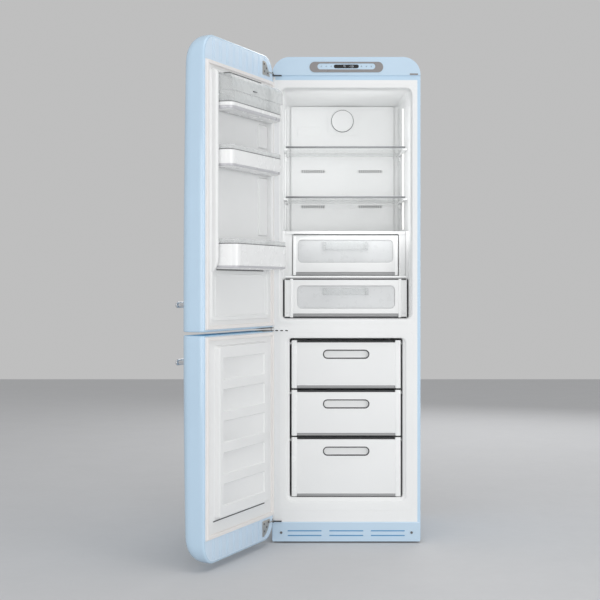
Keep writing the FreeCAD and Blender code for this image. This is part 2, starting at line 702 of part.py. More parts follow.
def liner_plate(door):
    """Flat white sheet on a door's inner side, up to the end cap."""
    body = door_solid(door, DOOR_SKIN, INNER_FACE)
    plate = body.common(block(-310, 310, INNER_FACE - LINER, INNER_FACE, 0, HEIGHT))
    return plate.cut(cap_zone(door, INNER_FACE - 5, INNER_FACE + 5))


def upper_door_liner():
    """Inner lining of the fridge door, with upright dykes, a top bar and ledges for the balconies."""
    dyke = plan_slab(DYKE_IN, DYKE_OUT, INNER_FACE - 1, DYKE_TIP, PLUG_LOW, PLUG_HIGH, (0.0, 0.0, 7.0, 7.0))
    bars = mirrored(dyke)
    bars.append(side_slab(INNER_FACE - 1, -4.5, PLUG_HIGH - 7, PLUG_HIGH, -DYKE_IN - 5, DYKE_IN + 5,
                          (0.0, 2.0, 2.0, 0.0)))
    bars.append(side_slab(INNER_FACE - 1, 6, PLUG_LOW, PLUG_LOW + 10, -DYKE_IN - 5, DYKE_IN + 5,
                          (0.0, 4.0, 4.0, 0.0)))
    for balcony in BALCONIES.values():
        ledge = balcony["rim"] - 12.3
        bars += mirrored(block(227.2, DYKE_IN + 1, 0, 13, ledge - 5, ledge))
    return joined([liner_plate(UPPER_DOOR)] + bars)


def lower_door_liner():
    """Inner lining of the freezer door, a low plug with five pressed rectangles."""
    plug = front_slab(-215, 215, 188, 818, INNER_FACE - 1, INNER_FACE + FREEZER_PLUG, 12.0)
    pressed = []
    for turn in range(5):
        z = 271 + turn * 116.0
        pressed.append(front_slab(-170, 186, z - 40, z + 40, INNER_FACE + FREEZER_PLUG - 1.5, 20, 4.0))
    return joined([liner_plate(LOWER_DOOR), without(plug, pressed)])


def mitred_ring(half, low, high, width, y0, y1):
    """Four straight bars mitred at the corners of a rectangle."""
    outer = [(-half, low), (half, low), (half, high), (-half, high)]
    inner = [(width - half, low + width), (half - width, low + width),
             (half - width, high - width), (width - half, high - width)]
    bars = []
    for turn in range(4):
        after = (turn + 1) % 4
        points = [outer[turn], outer[after], inner[after], inner[turn], outer[turn]]
        wire = Part.makePolygon([Vector(x, y0, z) for x, z in points])
        bars.append(Part.Face(wire).extrude(Vector(0, y1 - y0, 0)))
    return Part.makeCompound(bars)


def door_gasket(low, high):
    """Magnetic seal standing on the door's lining."""
    return mitred_ring(HALF_WIDTH - 9, low, high, GASKET_WIDTH, INNER_FACE, GASKET_FRONT)


def door_handle(z):
    """Bar handle on two posts, near the free edge of a door."""
    half = HANDLE_LENGTH / 2
    y0 = DOOR_FRONT - HANDLE_REACH
    tall = HANDLE_TALL / 2
    bar = front_slab(HANDLE_X - half, HANDLE_X + half, z - tall, z + tall, y0, y0 + 10, tall - 0.01)
    posts = [rod(HANDLE_X + side * (half - 16), y0 + 5, z, 8, HANDLE_REACH - 5, BACK) for side in (-1, 1)]
    return joined([bar] + posts)


def split_bearing(door):
    """Steel strip on a door's split end, with the eye that turns on the middle pin."""
    if door["end"] > door["split"]:
        low, high = door["split"] - 3, door["split"]
    else:
        low, high = door["split"], door["split"] + 2.6
    strip = block(-295, -212, -50, -13, low, high)
    neck = block(PIN_X, -290, PIN_Y - EYE_RADIUS, PIN_Y + 3, low, high)
    eye = rod(PIN_X, PIN_Y, low, EYE_RADIUS, high - low, UP)
    return joined([strip, neck, eye]).cut(rod(PIN_X, PIN_Y, low - 1, PIN_HOLE, 6, UP))


def door_hinge_plate(door):
    """Steel plate on the end cap's corner with its lug for the pin, and the strip on the split end."""
    if door["end"] > door["split"]:
        low, high, bracket_z = TOP_BRACKET_Z + BRACKET + 0.6, 1951.0, TOP_BRACKET_Z
    else:
        low, high, bracket_z = 34.0, 97.0, LOW_BRACKET_Z
    lug_z = bracket_z + BRACKET + 1
    body = door_solid(door, DOOR_SKIN + 5, INNER_FACE + 2)
    plate = block(-297, -228, INNER_FACE, INNER_FACE + 2, low, high).common(body)
    plate = plate.cut(block(-305, -260, INNER_FACE - 1, INNER_FACE + 3, bracket_z - 2, lug_z - 0.4))
    for x in (-272.0, -240.0):
        for z in (low + 12, high - 24):
            plate = plate.cut(rod(x, INNER_FACE - 1, z, 2.6, 4, BACK))
    lug = joined([
        block(PIN_X - 5.8, PIN_X + 14, PIN_Y - 2, INNER_FACE + 2, lug_z, lug_z + 4),
        rod(PIN_X, PIN_Y, lug_z, 5.8, 4, UP),
    ])
    corner = joined([plate, lug]).cut(rod(PIN_X, PIN_Y, lug_z - 1, PIN_HOLE, 6, UP))
    return Part.makeCompound([corner, split_bearing(door)])


# ---- door balconies ----
def balcony(low, rim, front):
    """Door bin with side lips that rest on the dykes' ledges."""
    tub = open_bin(BALCONY_HALF, INNER_FACE + 1, front, low, rim, DRAWER_WALL, (3.0, 3.0, 22.0, 22.0))
    lips = mirrored(block(BALCONY_HALF - 1, DYKE_IN - 0.6, -1, 14, rim - 12, rim - 7))
    return joined([tub] + lips)


def balcony_top():
    """Top door bin, with two ears that carry the lid."""
    size = BALCONIES["balcony_top"]
    ears = mirrored(side_slab(LID_PIVOT_Y - 7, LID_PIVOT_Y + 7, size["rim"] - 20, LID_PIVOT_Z + 5,
                              BALCONY_HALF - 3, BALCONY_HALF, (0.0, 0.0, 4.0, 0.0)))
    shape = joined([balcony(**size)] + ears)
    return shape.cut(rod(-BALCONY_HALF - 1, LID_PIVOT_Y, LID_PIVOT_Z, 2.56, 2 * BALCONY_HALF + 2, RIGHT))


def dairy_lid():
    """Curved clear lid over the top bin, with end pins at its rear edge."""
    half = BALCONY_HALF - 3.6
    size = BALCONIES["balcony_top"]
    low, high = size["rim"] + 1.5, LID_PIVOT_Z + 3
    outside = side_slab(LID_PIVOT_Y - 3, size["front"], low, high, -half, half, (0.0, 0.0, 26.0, 2.0))
    inside = side_slab(LID_PIVOT_Y - 4, size["front"] - 2.5, low - 1, high - 2.5, 2.5 - half, half - 2.5,
                       (0.0, 0.0, 23.5, 0.0))
    back_room = block(-half - 1, half + 1, INNER_FACE, LID_PIVOT_Y + 9, low - 1, LID_PIVOT_Z - 5)
    grip = side_slab(size["front"] - 1, size["front"] + 5, low + 32, low + 37, -14, 14, 1.5)
    pins = rod(-BALCONY_HALF, LID_PIVOT_Y, LID_PIVOT_Z, 2.5, 2 * BALCONY_HALF, RIGHT)
    middle = block(4 - half, half - 4, INNER_FACE, LID_PIVOT_Y + 4, LID_PIVOT_Z - 4, LID_PIVOT_Z + 0.5)
    return joined([outside.cut(inside).cut(back_room), grip, pins.cut(middle)])


# ---- write every sub-part ----
def write_cabinet():
    """Fixed pieces of the cabinet."""
    for make in (
        outer_wrapper, rear_panel, base_tray, insulation_foam, fridge_liner, freezer_liner,
        control_fascia, control_bezel, control_plate, display_window, air_duct_panel, fan_cover,
        led_strips, drawer_cover_glass, drawer_cover_frame, freezer_back_panel, evaporator,
        compressor, condenser_coil, plinth, plinth_screws, hinge_top, hinge_middle, hinge_bottom,
    ):
        save(make.__name__, make())


def write_loose_fittings():
    """Pieces that move inside or under the cabinet."""
    save("fridge_fan", fridge_fan())
    save("foot_left", foot(-1))
    save("foot_right", foot(1))
    save("rear_rollers", rear_rollers())
    for name, level in SHELF_LEVELS.items():
        save(name + "_glass", shelf_glass(level))
        save(name + "_trims", shelf_trims(level))
    save("fresh_drawer_front", fridge_drawer_front(
        FRESH["half"], FRESH["front"], FRESH["low"], FRESH["high"], (197.0, 1137.0, 1231.0),
        (1191.0, 1224.0)))
    save("fresh_drawer_bin", fridge_drawer_bin(FRESH, FRESH["half"] - 2))
    save("crisper_front", fridge_drawer_front(
        CRISPER["half"], CRISPER["front"], CRISPER["low"], CRISPER["high"], (199.0, 948.0, 1042.0),
        (1004.0, 1032.0)))
    save("crisper_bin", fridge_drawer_bin(CRISPER, CRISPER["half"] - 9))
    for name, low, rim, rear in FREEZER_DRAWERS:
        save("freezer_drawer_" + name + "_front", freezer_drawer_front(low, rim))
        save("freezer_drawer_" + name + "_bin", freezer_drawer_bin(low, rim, rear))


def write_doors():
    """Every door piece, swung to its resting angle."""
    liners = {"upper_door": upper_door_liner, "lower_door": lower_door_liner}
    seals = {"upper_door": (881.0, 1862.0), "lower_door": (116.0 + 3, 855.0)}
    for name, door in (("upper_door", UPPER_DOOR), ("lower_door", LOWER_DOOR)):
        save(name + "_skin", swung(door_skin(door)))
        save(name + "_foam", swung(door_foam(door)))
        save(name + "_end_cap", swung(door_end_cap(door)))
        save(name + "_liner", swung(liners[name]()))
        save(name + "_gasket", swung(door_gasket(*seals[name])))
        save(name + "_handle", swung(door_handle(HANDLE_LEVELS[name])))
        save(name + "_hinge_plate", swung(door_hinge_plate(door)))
    save("balcony_top", swung(balcony_top()))
    save("dairy_lid", swung(dairy_lid()))
    for name in ("balcony_middle", "balcony_bottom"):
        save(name, swung(balcony(**BALCONIES[name])))


os.makedirs("parts", exist_ok=True)
write_cabinet()
write_loose_fittings()
write_doors()
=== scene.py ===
"""Looks of the bottom-freezer refrigerator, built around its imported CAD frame. Lengths are written in millimetres."""
import json
from math import cos, pi, radians, sin, sqrt

import bmesh
import bpy
from mathutils import Matrix, Vector

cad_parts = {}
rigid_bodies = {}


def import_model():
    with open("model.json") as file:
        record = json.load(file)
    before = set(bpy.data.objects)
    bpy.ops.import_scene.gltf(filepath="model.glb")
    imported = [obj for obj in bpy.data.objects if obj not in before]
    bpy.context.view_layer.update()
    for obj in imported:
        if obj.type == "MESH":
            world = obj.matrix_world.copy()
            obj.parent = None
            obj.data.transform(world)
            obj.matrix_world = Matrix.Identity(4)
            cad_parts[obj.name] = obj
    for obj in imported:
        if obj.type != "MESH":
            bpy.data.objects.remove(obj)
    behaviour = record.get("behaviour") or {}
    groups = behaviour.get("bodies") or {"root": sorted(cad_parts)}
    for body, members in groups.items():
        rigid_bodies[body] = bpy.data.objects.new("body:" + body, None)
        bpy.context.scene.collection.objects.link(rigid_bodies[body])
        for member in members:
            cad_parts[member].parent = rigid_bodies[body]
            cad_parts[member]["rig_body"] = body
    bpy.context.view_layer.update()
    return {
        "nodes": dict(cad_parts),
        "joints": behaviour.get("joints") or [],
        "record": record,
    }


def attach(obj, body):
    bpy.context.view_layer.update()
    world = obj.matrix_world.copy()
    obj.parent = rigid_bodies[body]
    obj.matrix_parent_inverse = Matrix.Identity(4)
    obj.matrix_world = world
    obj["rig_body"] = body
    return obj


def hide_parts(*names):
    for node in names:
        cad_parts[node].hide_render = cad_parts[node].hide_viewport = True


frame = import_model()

NODES = frame["nodes"]
JOINTS = {joint["name"]: joint for joint in frame["joints"]}
MM = 0.001
WELD = 1e-6  # metres between points that count as one
SHARP = 0.01  # corner radius of a square corner
SCREW = 4.2  # radius of a screw head

# ---- the frame's own measures ----
PIN = Vector(JOINTS["upper_door_hinge"]["pos_m"]) / MM
REST_TURN = radians(JOINTS["upper_door_hinge"]["range_deg"][0])
UNSWING = Matrix.Translation(PIN) @ Matrix.Rotation(-REST_TURN, 4, "Z") @ Matrix.Translation(-PIN)
SWING = UNSWING.inverted()


class Box:
    """Lowest and highest corner of a CAD node in millimetres; closed=True undoes the door's swing."""

    def __init__(self, node, closed=False):
        turn = UNSWING if closed else Matrix.Identity(4)
        points = [turn @ (v.co / MM) for v in NODES[node].data.vertices]
        self.x0, self.x1 = min(p.x for p in points), max(p.x for p in points)
        self.y0, self.y1 = min(p.y for p in points), max(p.y for p in points)
        self.z0, self.z1 = min(p.z for p in points), max(p.z for p in points)
        self.xc, self.yc, self.zc = ((self.x0 + self.x1) / 2, (self.y0 + self.y1) / 2, (self.z0 + self.z1) / 2)


FRIDGE = Box("fridge_liner")
FREEZER = Box("freezer_liner")
DUCT = Box("air_duct_panel")
FASCIA = Box("control_fascia")
PLATE = Box("control_plate")
DISPLAY = Box("display_window")
INNER_FACE = Box("upper_door_liner", True).y0 + 2.0


# ---- materials ----
def srgb(red, green, blue):
    """Display colour from 0 to 255 as a linear colour."""
    def linear(value):
        part = value / 255
        return part / 12.92 if part <= 0.04045 else ((part + 0.055) / 1.055) ** 2.4
    return (linear(red), linear(green), linear(blue), 1.0)


def shaded(colour, factor):
    """A colour made lighter or darker."""
    return tuple(min(1.0, part * factor) for part in colour[:3]) + (1.0,)


class Nodes:
    """A material's node tree, with short ways to add and link nodes."""

    def __init__(self, name):
        self.material = bpy.data.materials.new(name)
        self.material.use_nodes = True
        self.tree = self.material.node_tree
        self.shader = self.tree.nodes["Principled BSDF"]
        self.place = self.add("ShaderNodeTexCoord").outputs["Object"]

    def add(self, kind, **settings):
        node = self.tree.nodes.new(kind)
        for key, value in settings.items():
            setattr(node, key, value)
        return node

    def link(self, out, into):
        self.tree.links.new(out, into)

    def feed(self, value, socket):
        self.link(value, self.shader.inputs[socket])

    def noise(self, scale, detail=2.0, stretch=(1.0, 1.0, 1.0)):
        mapping = self.add("ShaderNodeMapping")
        mapping.inputs["Scale"].default_value = stretch
        texture = self.add("ShaderNodeTexNoise")
        texture.inputs["Scale"].default_value = scale
        texture.inputs["Detail"].default_value = detail
        self.link(self.place, mapping.inputs["Vector"])
        self.link(mapping.outputs["Vector"], texture.inputs["Vector"])
        return texture.outputs["Fac"]

    def ranged(self, value, low, high, from_low=0.3, from_high=0.7):
        node = self.add("ShaderNodeMapRange")
        node.inputs["From Min"].default_value = from_low
        node.inputs["From Max"].default_value = from_high
        node.inputs["To Min"].default_value = low
        node.inputs["To Max"].default_value = high
        self.link(value, node.inputs["Value"])
        return node.outputs["Result"]

    def mixed(self, value, first, second):
        node = self.add("ShaderNodeMix", data_type="RGBA")
        node.inputs["A"].default_value = first
        node.inputs["B"].default_value = second
        self.link(value, node.inputs["Factor"])
        return node.outputs["Result"]

    def bump(self, height, strength, distance):
        node = self.add("ShaderNodeBump")
        node.inputs["Strength"].default_value = strength
        node.inputs["Distance"].default_value = distance
        self.link(height, node.inputs["Height"])
        self.feed(node.outputs["Normal"], "Normal")

    def set(self, **values):
        for key, value in values.items():
            self.shader.inputs[key.replace("_", " ")].default_value = value


def surface(name, colour, roughness, tone=0.03, grain=900.0, depth=0.00004, stretch=(1.0, 1.0, 1.0), **values):
    """Moulded or painted surface: slow tone changes, uneven gloss and a fine relief."""
    nodes, colour = Nodes(name), srgb(*colour)
    slow = nodes.noise(4.0)
    fine = nodes.noise(grain, 3.0, stretch)
    tint = nodes.mixed(nodes.ranged(slow, 0.0, 1.0), shaded(colour, 1.0 - tone), shaded(colour, 1.0 + tone))
    nodes.feed(tint, "Base Color")
    nodes.feed(nodes.ranged(nodes.noise(22.0), roughness * 0.88, roughness * 1.12), "Roughness")
    nodes.bump(fine, 0.35, depth)
    nodes.set(**values)
    return nodes.material


def clear(name, colour, roughness, face_alpha, edge_alpha, **values):
    """See-through plastic or glass that is denser towards its edges, with faint haze."""
    nodes, colour = Nodes(name), srgb(*colour)
    weight = nodes.add("ShaderNodeLayerWeight")
    weight.inputs["Blend"].default_value = 0.35
    nodes.feed(nodes.ranged(weight.outputs["Facing"], face_alpha, edge_alpha, 0.0, 1.0), "Alpha")
    tint = nodes.mixed(nodes.ranged(nodes.noise(9.0), 0.0, 1.0), shaded(colour, 0.96), shaded(colour, 1.03))
    nodes.feed(tint, "Base Color")
    nodes.feed(nodes.ranged(nodes.noise(40.0), roughness * 0.8, roughness * 1.2), "Roughness")
    nodes.bump(nodes.noise(60.0), 0.03, 0.0001)
    nodes.set(**values)
    return nodes.material


def lamp(name, colour, strength):
    """Lit diffuser."""
    nodes, colour = Nodes(name), srgb(*colour)
    tint = nodes.mixed(nodes.ranged(nodes.noise(60.0), 0.0, 1.0), shaded(colour, 0.97), colour)
    nodes.feed(tint, "Base Color")
    nodes.feed(tint, "Emission Color")
    nodes.set(Emission_Strength=strength, Roughness=0.5)
    return nodes.material


ENAMEL = surface("blue_enamel", (188, 213, 233), 0.22, 0.012, 420.0, 0.00003, Coat_Weight=0.55,
                 Coat_Roughness=0.06)
CAP_BLUE = surface("blue_moulding", (190, 211, 228), 0.36, 0.012, 1400.0, 0.00004)
# Lighter copy of the blue moulding: painted light on the doors' end mouldings, which face away from the lamps.
LIT_BLUE = surface("blue_moulding_lit", (205, 223, 239), 0.36, 0.012, 1400.0, 0.00004)
# Blue enamel brightened well past the doors' paint: painted light for the strip on the freezer door's top, which lies
# in the fridge door's shade.
BRIGHTENED_BLUE = surface("blue_enamel_brightened", (160, 222, 255), 0.4, 0.02, 900.0, 0.00003)
# Darker copy of the blue moulding: painted shade seen through the kick panel's slots.
SHADED_BLUE = surface("blue_moulding_shaded", (96, 156, 200), 0.4, 0.02, 900.0, 0.00003)
LINER = surface("white_liner", (232, 233, 233), 0.42, 0.01, 1300.0, 0.00003)
WHITE = surface("white_moulding", (231, 232, 232), 0.34, 0.01, 1500.0, 0.00003)
# Dimmer copy of the white moulding: painted shade on the fresh drawer and the drawers' cover, which sit further into
# the fridge.
DIM_WHITE = surface("white_moulding_shaded", (221, 222, 222), 0.4, 0.01, 1500.0, 0.00003)
SHELL_WHITE = surface("white_band", (236, 237, 237), 0.26, 0.008, 1500.0, 0.00002, Coat_Weight=0.15)
SEAL = surface("seal_rubber", (233, 230, 228), 0.6, 0.02, 800.0, 0.00008)
BEZEL = surface("bezel_grey", (140, 137, 137), 0.3, 0.02, 1200.0, 0.00004, Coat_Weight=0.3)
BLACK_GLASS = surface("display_black", (14, 14, 15), 0.08, 0.02, 300.0, 0.00001, Coat_Weight=1.0)
MARK = surface("key_marks", (92, 102, 114), 0.5)
GLYPH = lamp("display_glyphs", (190, 200, 210), 0.25)
DARK = surface("shadow_grey", (62, 63, 65), 0.5, 0.03)
# Near-black for the top and bottom hinge brackets: painted shade of the slots they sit in.
HINGE_SHADE = surface("hinge_shade_dark", (52, 53, 56), 0.45, 0.05, 500.0, 0.00004)
SMOKE = surface("smoked_edge", (112, 114, 116), 0.22, 0.03, 700.0, 0.00003, Coat_Weight=0.6)
# Grey copy of the white moulding: painted shade on the duct's vanes and on the drawers' sunk foot strips.
SHADE_GREY = surface("white_moulding_shade_grey", (158, 159, 160), 0.34, 0.03, 900.0, 0.00003)
STEEL = surface("galvanised", (176, 178, 180), 0.42, 0.06, 60.0, 0.00003, Metallic=1.0)
BRACKET = surface("bracket_steel", (190, 184, 176), 0.38, 0.04, 500.0, 0.00004, (1, 1, 20), Metallic=0.85)
DARK_STEEL = surface("dark_steel", (118, 116, 114), 0.4, 0.05, 500.0, 0.00004, (1, 1, 20), Metallic=0.7)
CHROME = surface("chrome", (226, 228, 231), 0.07, 0.01, 300.0, 0.000005, Metallic=1.0)
TRIM = surface("silver_trim", (196, 196, 200), 0.3, 0.02, 200.0, 0.00001, (1, 1, 30), Metallic=0.2)
BLACK_PAINT = surface("black_shell", (24, 24, 25), 0.32, 0.05, 500.0, 0.00005, Coat_Weight=0.3)
COPPER = surface("copper_pipe", (196, 120, 82), 0.3, 0.08, 300.0, 0.00003, Metallic=1.0)
COIL = surface("coil_paint", (38, 37, 37), 0.5, 0.05, 600.0, 0.00005)
FINS = surface("fin_aluminium", (196, 198, 200), 0.35, 0.05, 400.0, 0.00003, Metallic=1.0)
BLACK_PLASTIC = surface("black_plastic", (30, 30, 31), 0.6, 0.05, 900.0, 0.00008)
FOAM = surface("foam", (226, 214, 170), 0.95, 0.08, 260.0, 0.0006)
GLOW = lamp("light_diffuser", (255, 255, 252), 0.35)
GLASS = clear("shelf_glass", (236, 241, 240), 0.04, 0.05, 0.24, Coat_Weight=0.4)
CLEAR = clear("clear_plastic", (226, 229, 229), 0.28, 0.16, 0.75, Specular_IOR_Level=0.3)
FROST = clear("frosted_plastic", (225, 227, 228), 0.3, 0.85, 0.96)
# Dimmer copy of the frosted plastic: painted shade on the fresh drawer's window.
FROST_DIM = clear("frosted_plastic_shaded", (214, 216, 217), 0.3, 0.85, 0.96)

# Each material slot with the looks that carry it; the first is the look of the slot's CAD nodes.
SLOT_LOOKS = {
    "blue_enamel": (ENAMEL, BRIGHTENED_BLUE), "blue_plastic": (CAP_BLUE, LIT_BLUE, SHADED_BLUE), "white_liner": (LINER,),
    "white_moulding": (WHITE, DIM_WHITE, SHELL_WHITE, SHADE_GREY), "clear_plastic": (CLEAR, FROST, FROST_DIM),
    "shelf_glass": (GLASS,), "insulation": (FOAM,), "seal_rubber": (SEAL,), "bezel_grey": (BEZEL, DARK, SMOKE, MARK),
    "display_black": (BLACK_GLASS, GLYPH), "galvanised": (STEEL,), "bracket_steel": (BRACKET, DARK_STEEL),
    "chrome": (CHROME, TRIM), "black_shell": (BLACK_PAINT,), "copper_brown": (COIL, COPPER),
    "fin_aluminium": (FINS,), "black_plastic": (BLACK_PLASTIC,), "light_diffuser": (GLOW,),
}
# The top and bottom hinges take the near-black of painted shade.
NODE_LOOKS = {"hinge_top": HINGE_SHADE, "hinge_middle": SHELL_WHITE, "hinge_bottom": HINGE_SHADE,
              "drawer_cover_frame": DIM_WHITE, "plinth_screws": DARK_STEEL}


def dress_cad_nodes():
    """Give every CAD node its own look, or its slot's."""
    for part in frame["record"]["subparts"]:
        node = NODES[part["node"]]
        node.data.materials.clear()
        node.data.materials.append(NODE_LOOKS.get(part["node"], SLOT_LOOKS[part["material_slot"]][0]))


def frame_body(node):
    """Name of the body that a CAD node belongs to."""
    return NODES[node]["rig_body"]


# ---- mesh helpers ----
def rounded(u0, u1, v0, v1, radii, steps=7):
    """Points round a rectangle with rounded corners, anticlockwise from the low corner."""
    if not isinstance(radii, tuple):
        radii = (radii,) * 4
    corners = ((u0, v0, 1, 1, 180), (u1, v0, -1, 1, 270), (u1, v1, -1, -1, 0), (u0, v1, 1, -1, 90))
    points = []
    for (u, v, su, sv, start), radius in zip(corners, radii):
        for step in range(steps + 1):
            angle = radians(start + 90 * step / steps)
            reach = max(radius, SHARP)
            points.append((u + su * reach + reach * cos(angle), v + sv * reach + reach * sin(angle)))
    return points


def front_ring(x0, x1, z0, z1, y, radii):
    """Ring of points seen from the front."""
    return [Vector((x, y, z)) for x, z in rounded(x0, x1, z0, z1, radii)]


def plan_ring(x0, x1, y0, y1, z, radii):
    """Ring of points seen from above."""
    return [Vector((x, y, z)) for x, y in rounded(x0, x1, y0, y1, radii)]


def side_ring(y0, y1, z0, z1, x, radii):
    """Ring of points seen from the side."""
    return [Vector((x, y, z)) for y, z in rounded(y0, y1, z0, z1, radii)]


def linked(name, data):
    """New object in the scene."""
    piece = bpy.data.objects.new(name, data)
    bpy.context.scene.collection.objects.link(piece)
    return piece


def mesh_object(verts, faces, turn=None, name="part"):
    """New object from points in millimetres, carried by turn."""
    mesh = bpy.data.meshes.new(name)
    placed = [(turn @ Vector(v) if turn else Vector(v)) * MM for v in verts]
    mesh.from_pydata(placed, [], faces)
    edit = bmesh.new()
    edit.from_mesh(mesh)
    bmesh.ops.remove_doubles(edit, verts=edit.verts, dist=WELD)
    bmesh.ops.recalc_face_normals(edit, faces=edit.faces)
    edit.to_mesh(mesh)
    edit.free()
    return linked(name, mesh)


def skin_faces(rings, count, loop=False):
    """Faces from each ring of count points to the next; loop joins the last ring to the first."""
    faces = []
    for index in range(rings if loop else rings - 1):
        low, high = index * count, (index + 1) % rings * count
        for k in range(count):
            after = (k + 1) % count
            faces.append((low + k, low + after, high + after, high + k))
    return faces


def loft(rings, turn=None, caps=True, loop=False):
    """Skin through rings of equal length, capped at both ends or joined into a loop."""
    count = len(rings[0])
    faces = skin_faces(len(rings), count, loop)
    if caps and not loop:
        faces.append(tuple(range(count - 1, -1, -1)))
        faces.append(tuple((len(rings) - 1) * count + k for k in range(count)))
    return mesh_object([v for ring in rings for v in ring], faces, turn)


def evaluated(piece):
    """Mesh of a piece with its modifiers or its curve's thickness worked out."""
    graph = bpy.context.evaluated_depsgraph_get()
    return bpy.data.meshes.new_from_object(piece.evaluated_get(graph))


def settle(piece):
    """Apply the modifiers on a piece to its mesh."""
    mesh = evaluated(piece)
    piece.modifiers.clear()
    piece.data = mesh


def bevelled(piece, width, segments=3, limit=35.0):
    """Round the sharp edges of a piece."""
    modifier = piece.modifiers.new("bevel", "BEVEL")
    modifier.width = width * MM
    modifier.segments = segments
    modifier.angle_limit = radians(limit)
    modifier.use_clamp_overlap = True
    settle(piece)
    return piece


def cut_out(piece, cutters):
    """Take other pieces' shapes away from a piece and delete them."""
    for cutter in cutters:
        modifier = piece.modifiers.new("cut", "BOOLEAN")
        modifier.operation = "DIFFERENCE"
        modifier.solver = "EXACT"
        modifier.object = cutter
        bpy.context.view_layer.update()
        settle(piece)
        bpy.data.objects.remove(cutter)
    return piece


def merged(pieces):
    """Several pieces as one object."""
    edit = bmesh.new()
    for piece in pieces:
        edit.from_mesh(piece.data)
        bpy.data.objects.remove(piece)
    mesh = bpy.data.meshes.new("part")
    edit.to_mesh(mesh)
    edit.free()
    return linked("part", mesh)


def front_plate(x0, x1, z0, z1, y0, y1, radii, bevel=1.0, turn=None):
    """Plate with a rounded outline seen from the front and softened edges."""
    return bevelled(loft([front_ring(x0, x1, z0, z1, y, radii) for y in (y0, y1)], turn), bevel)


def bar(x0, x1, y0, y1, z0, z1, bevel=1.0, turn=None):
    """Straight bar with softened edges."""
    return front_plate(x0, x1, z0, z1, y0, y1, SHARP, bevel, turn)


def side_bar(x0, x1, y0, y1, z0, z1, radii, bevel, turn=None):
    """Bar from side to side with a rounded section and softened ends."""
    return bevelled(loft([side_ring(y0, y1, z0, z1, x, radii) for x in (x0, x1)], turn), bevel)


def lathe(profile, centre, axis, steps=32, turn=None):
    """Turned piece: profile pairs are distance along the axis and radius."""
    frames = {"X": (Vector((1, 0, 0)), Vector((0, 1, 0)), Vector((0, 0, 1))),
              "Y": (Vector((0, 1, 0)), Vector((0, 0, 1)), Vector((1, 0, 0))),
              "Z": (Vector((0, 0, 1)), Vector((1, 0, 0)), Vector((0, 1, 0)))}
    along, side, up = frames[axis]
    rings = []
    for distance, radius in profile:
        ring = []
        for k in range(steps):
            angle = 2 * pi * k / steps
            ring.append(Vector(centre) + along * distance
                        + (side * cos(angle) + up * sin(angle)) * max(radius, SHARP))
        rings.append(ring)
    return loft(rings, turn)


def tube(points, radius, turn=None):
    """Round tube along points, with smooth bends."""
    curve = bpy.data.curves.new("tube", "CURVE")
    curve.dimensions = "3D"
    curve.bevel_depth = radius * MM
    curve.bevel_resolution = 4
    curve.resolution_u = 6
    curve.use_fill_caps = True
    spline = curve.splines.new("NURBS")
    spline.points.add(len(points) - 1)
    for point, place in zip(spline.points, points):
        moved = (turn @ Vector(place) if turn else Vector(place)) * MM
        point.co = (*moved, 1.0)
    spline.order_u = 3
    spline.use_endpoint_u = True
    holder = linked("tube", curve)
    mesh = evaluated(holder)
    bpy.data.objects.remove(holder)
    return linked("part", mesh)


def finish(piece, name, body, material, crease=38.0, replaces=()):
    """Name a piece, or several as one, give it its material and shading, and hang it on its body."""
    if isinstance(piece, list):
        piece = merged(piece)
    piece.name = name
    piece.data.name = name
    piece.data.materials.clear()
    piece.data.materials.append(material)
    piece.data.shade_smooth()
    piece.data.set_sharp_from_angle(angle=radians(crease))
    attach(piece, body)
    if replaces:
        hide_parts(*replaces)


def pan_screw(centre, turn=None):
    """Round screw head standing out backwards."""
    height = SCREW * 0.55
    profile = [(0, SCREW), (height * 0.45, SCREW), (height * 0.85, SCREW * 0.72), (height, SCREW * 0.35),
               (height, 0.0)]
    return lathe(profile, centre, "Y", 24, turn)


# ---- compartments ----
TUB_WALL = 1.6
MOUTH_ROUND = 6.0


def tub(name, rings, liner):
    """Moulded tub in place of a liner: a skin through its rings, closed at the back and thickened outwards."""
    piece = loft(rings, caps=False)
    edit = bmesh.new()
    edit.from_mesh(piece.data)
    ends = [e for e in edit.edges if e.is_boundary]
    back = max(ends, key=lambda e: e.verts[0].co.y).verts[0].co.y
    rim = [e for e in ends if min(v.co.y for v in e.verts) > back - 10 * WELD]
    bmesh.ops.contextual_create(edit, geom=rim)
    bmesh.ops.recalc_face_normals(edit, faces=edit.faces)
    edit.to_mesh(piece.data)
    edit.free()
    modifier = piece.modifiers.new("wall", "SOLIDIFY")
    modifier.thickness = TUB_WALL * MM
    modifier.offset = 1.0
    settle(piece)
    finish(piece, name, "cabinet", LINER, 40.0, (liner,))


def mouth_rings(half, low, high, mouth, groove, throat):
    """Front flange with a fine groove, then the rounded mouth running into the throat."""
    mouth_half, mouth_low, mouth_high, radius = mouth
    rings = [front_ring(-half, half, low, high, 1.9, 0.5), front_ring(-half, half, low, high, 0.0, 0.5)]
    side, bottom, top = groove
    for grow, y in ((1.2, 0.0), (0.8, 0.5), (-0.8, 0.5), (-1.2, 0.0)):
        rings.append(front_ring(-side - grow, side + grow, bottom - grow, top + grow, y, 12.0))
    for angle in (0, 22, 45, 68, 90):
        turn = radians(angle)
        out, y = MOUTH_ROUND * (1 - sin(turn)), MOUTH_ROUND * (1 - cos(turn))
        rings.append(front_ring(-mouth_half - out, mouth_half + out, mouth_low - out, mouth_high + out, y,
                                radius + out))
    throat_half, throat_low, throat_high, throat_radius, depth = throat
    for share in (0.35, 0.7, 1.0):
        ease = sin(share * pi / 2)
        rings.append(front_ring(
            -mouth_half + (mouth_half - throat_half) * ease, mouth_half - (mouth_half - throat_half) * ease,
            mouth_low + (throat_low - mouth_low) * ease, mouth_high + (throat_high - mouth_high) * ease,
            MOUTH_ROUND + (depth - MOUTH_ROUND) * share, radius + (throat_radius - radius) * share))
    return rings


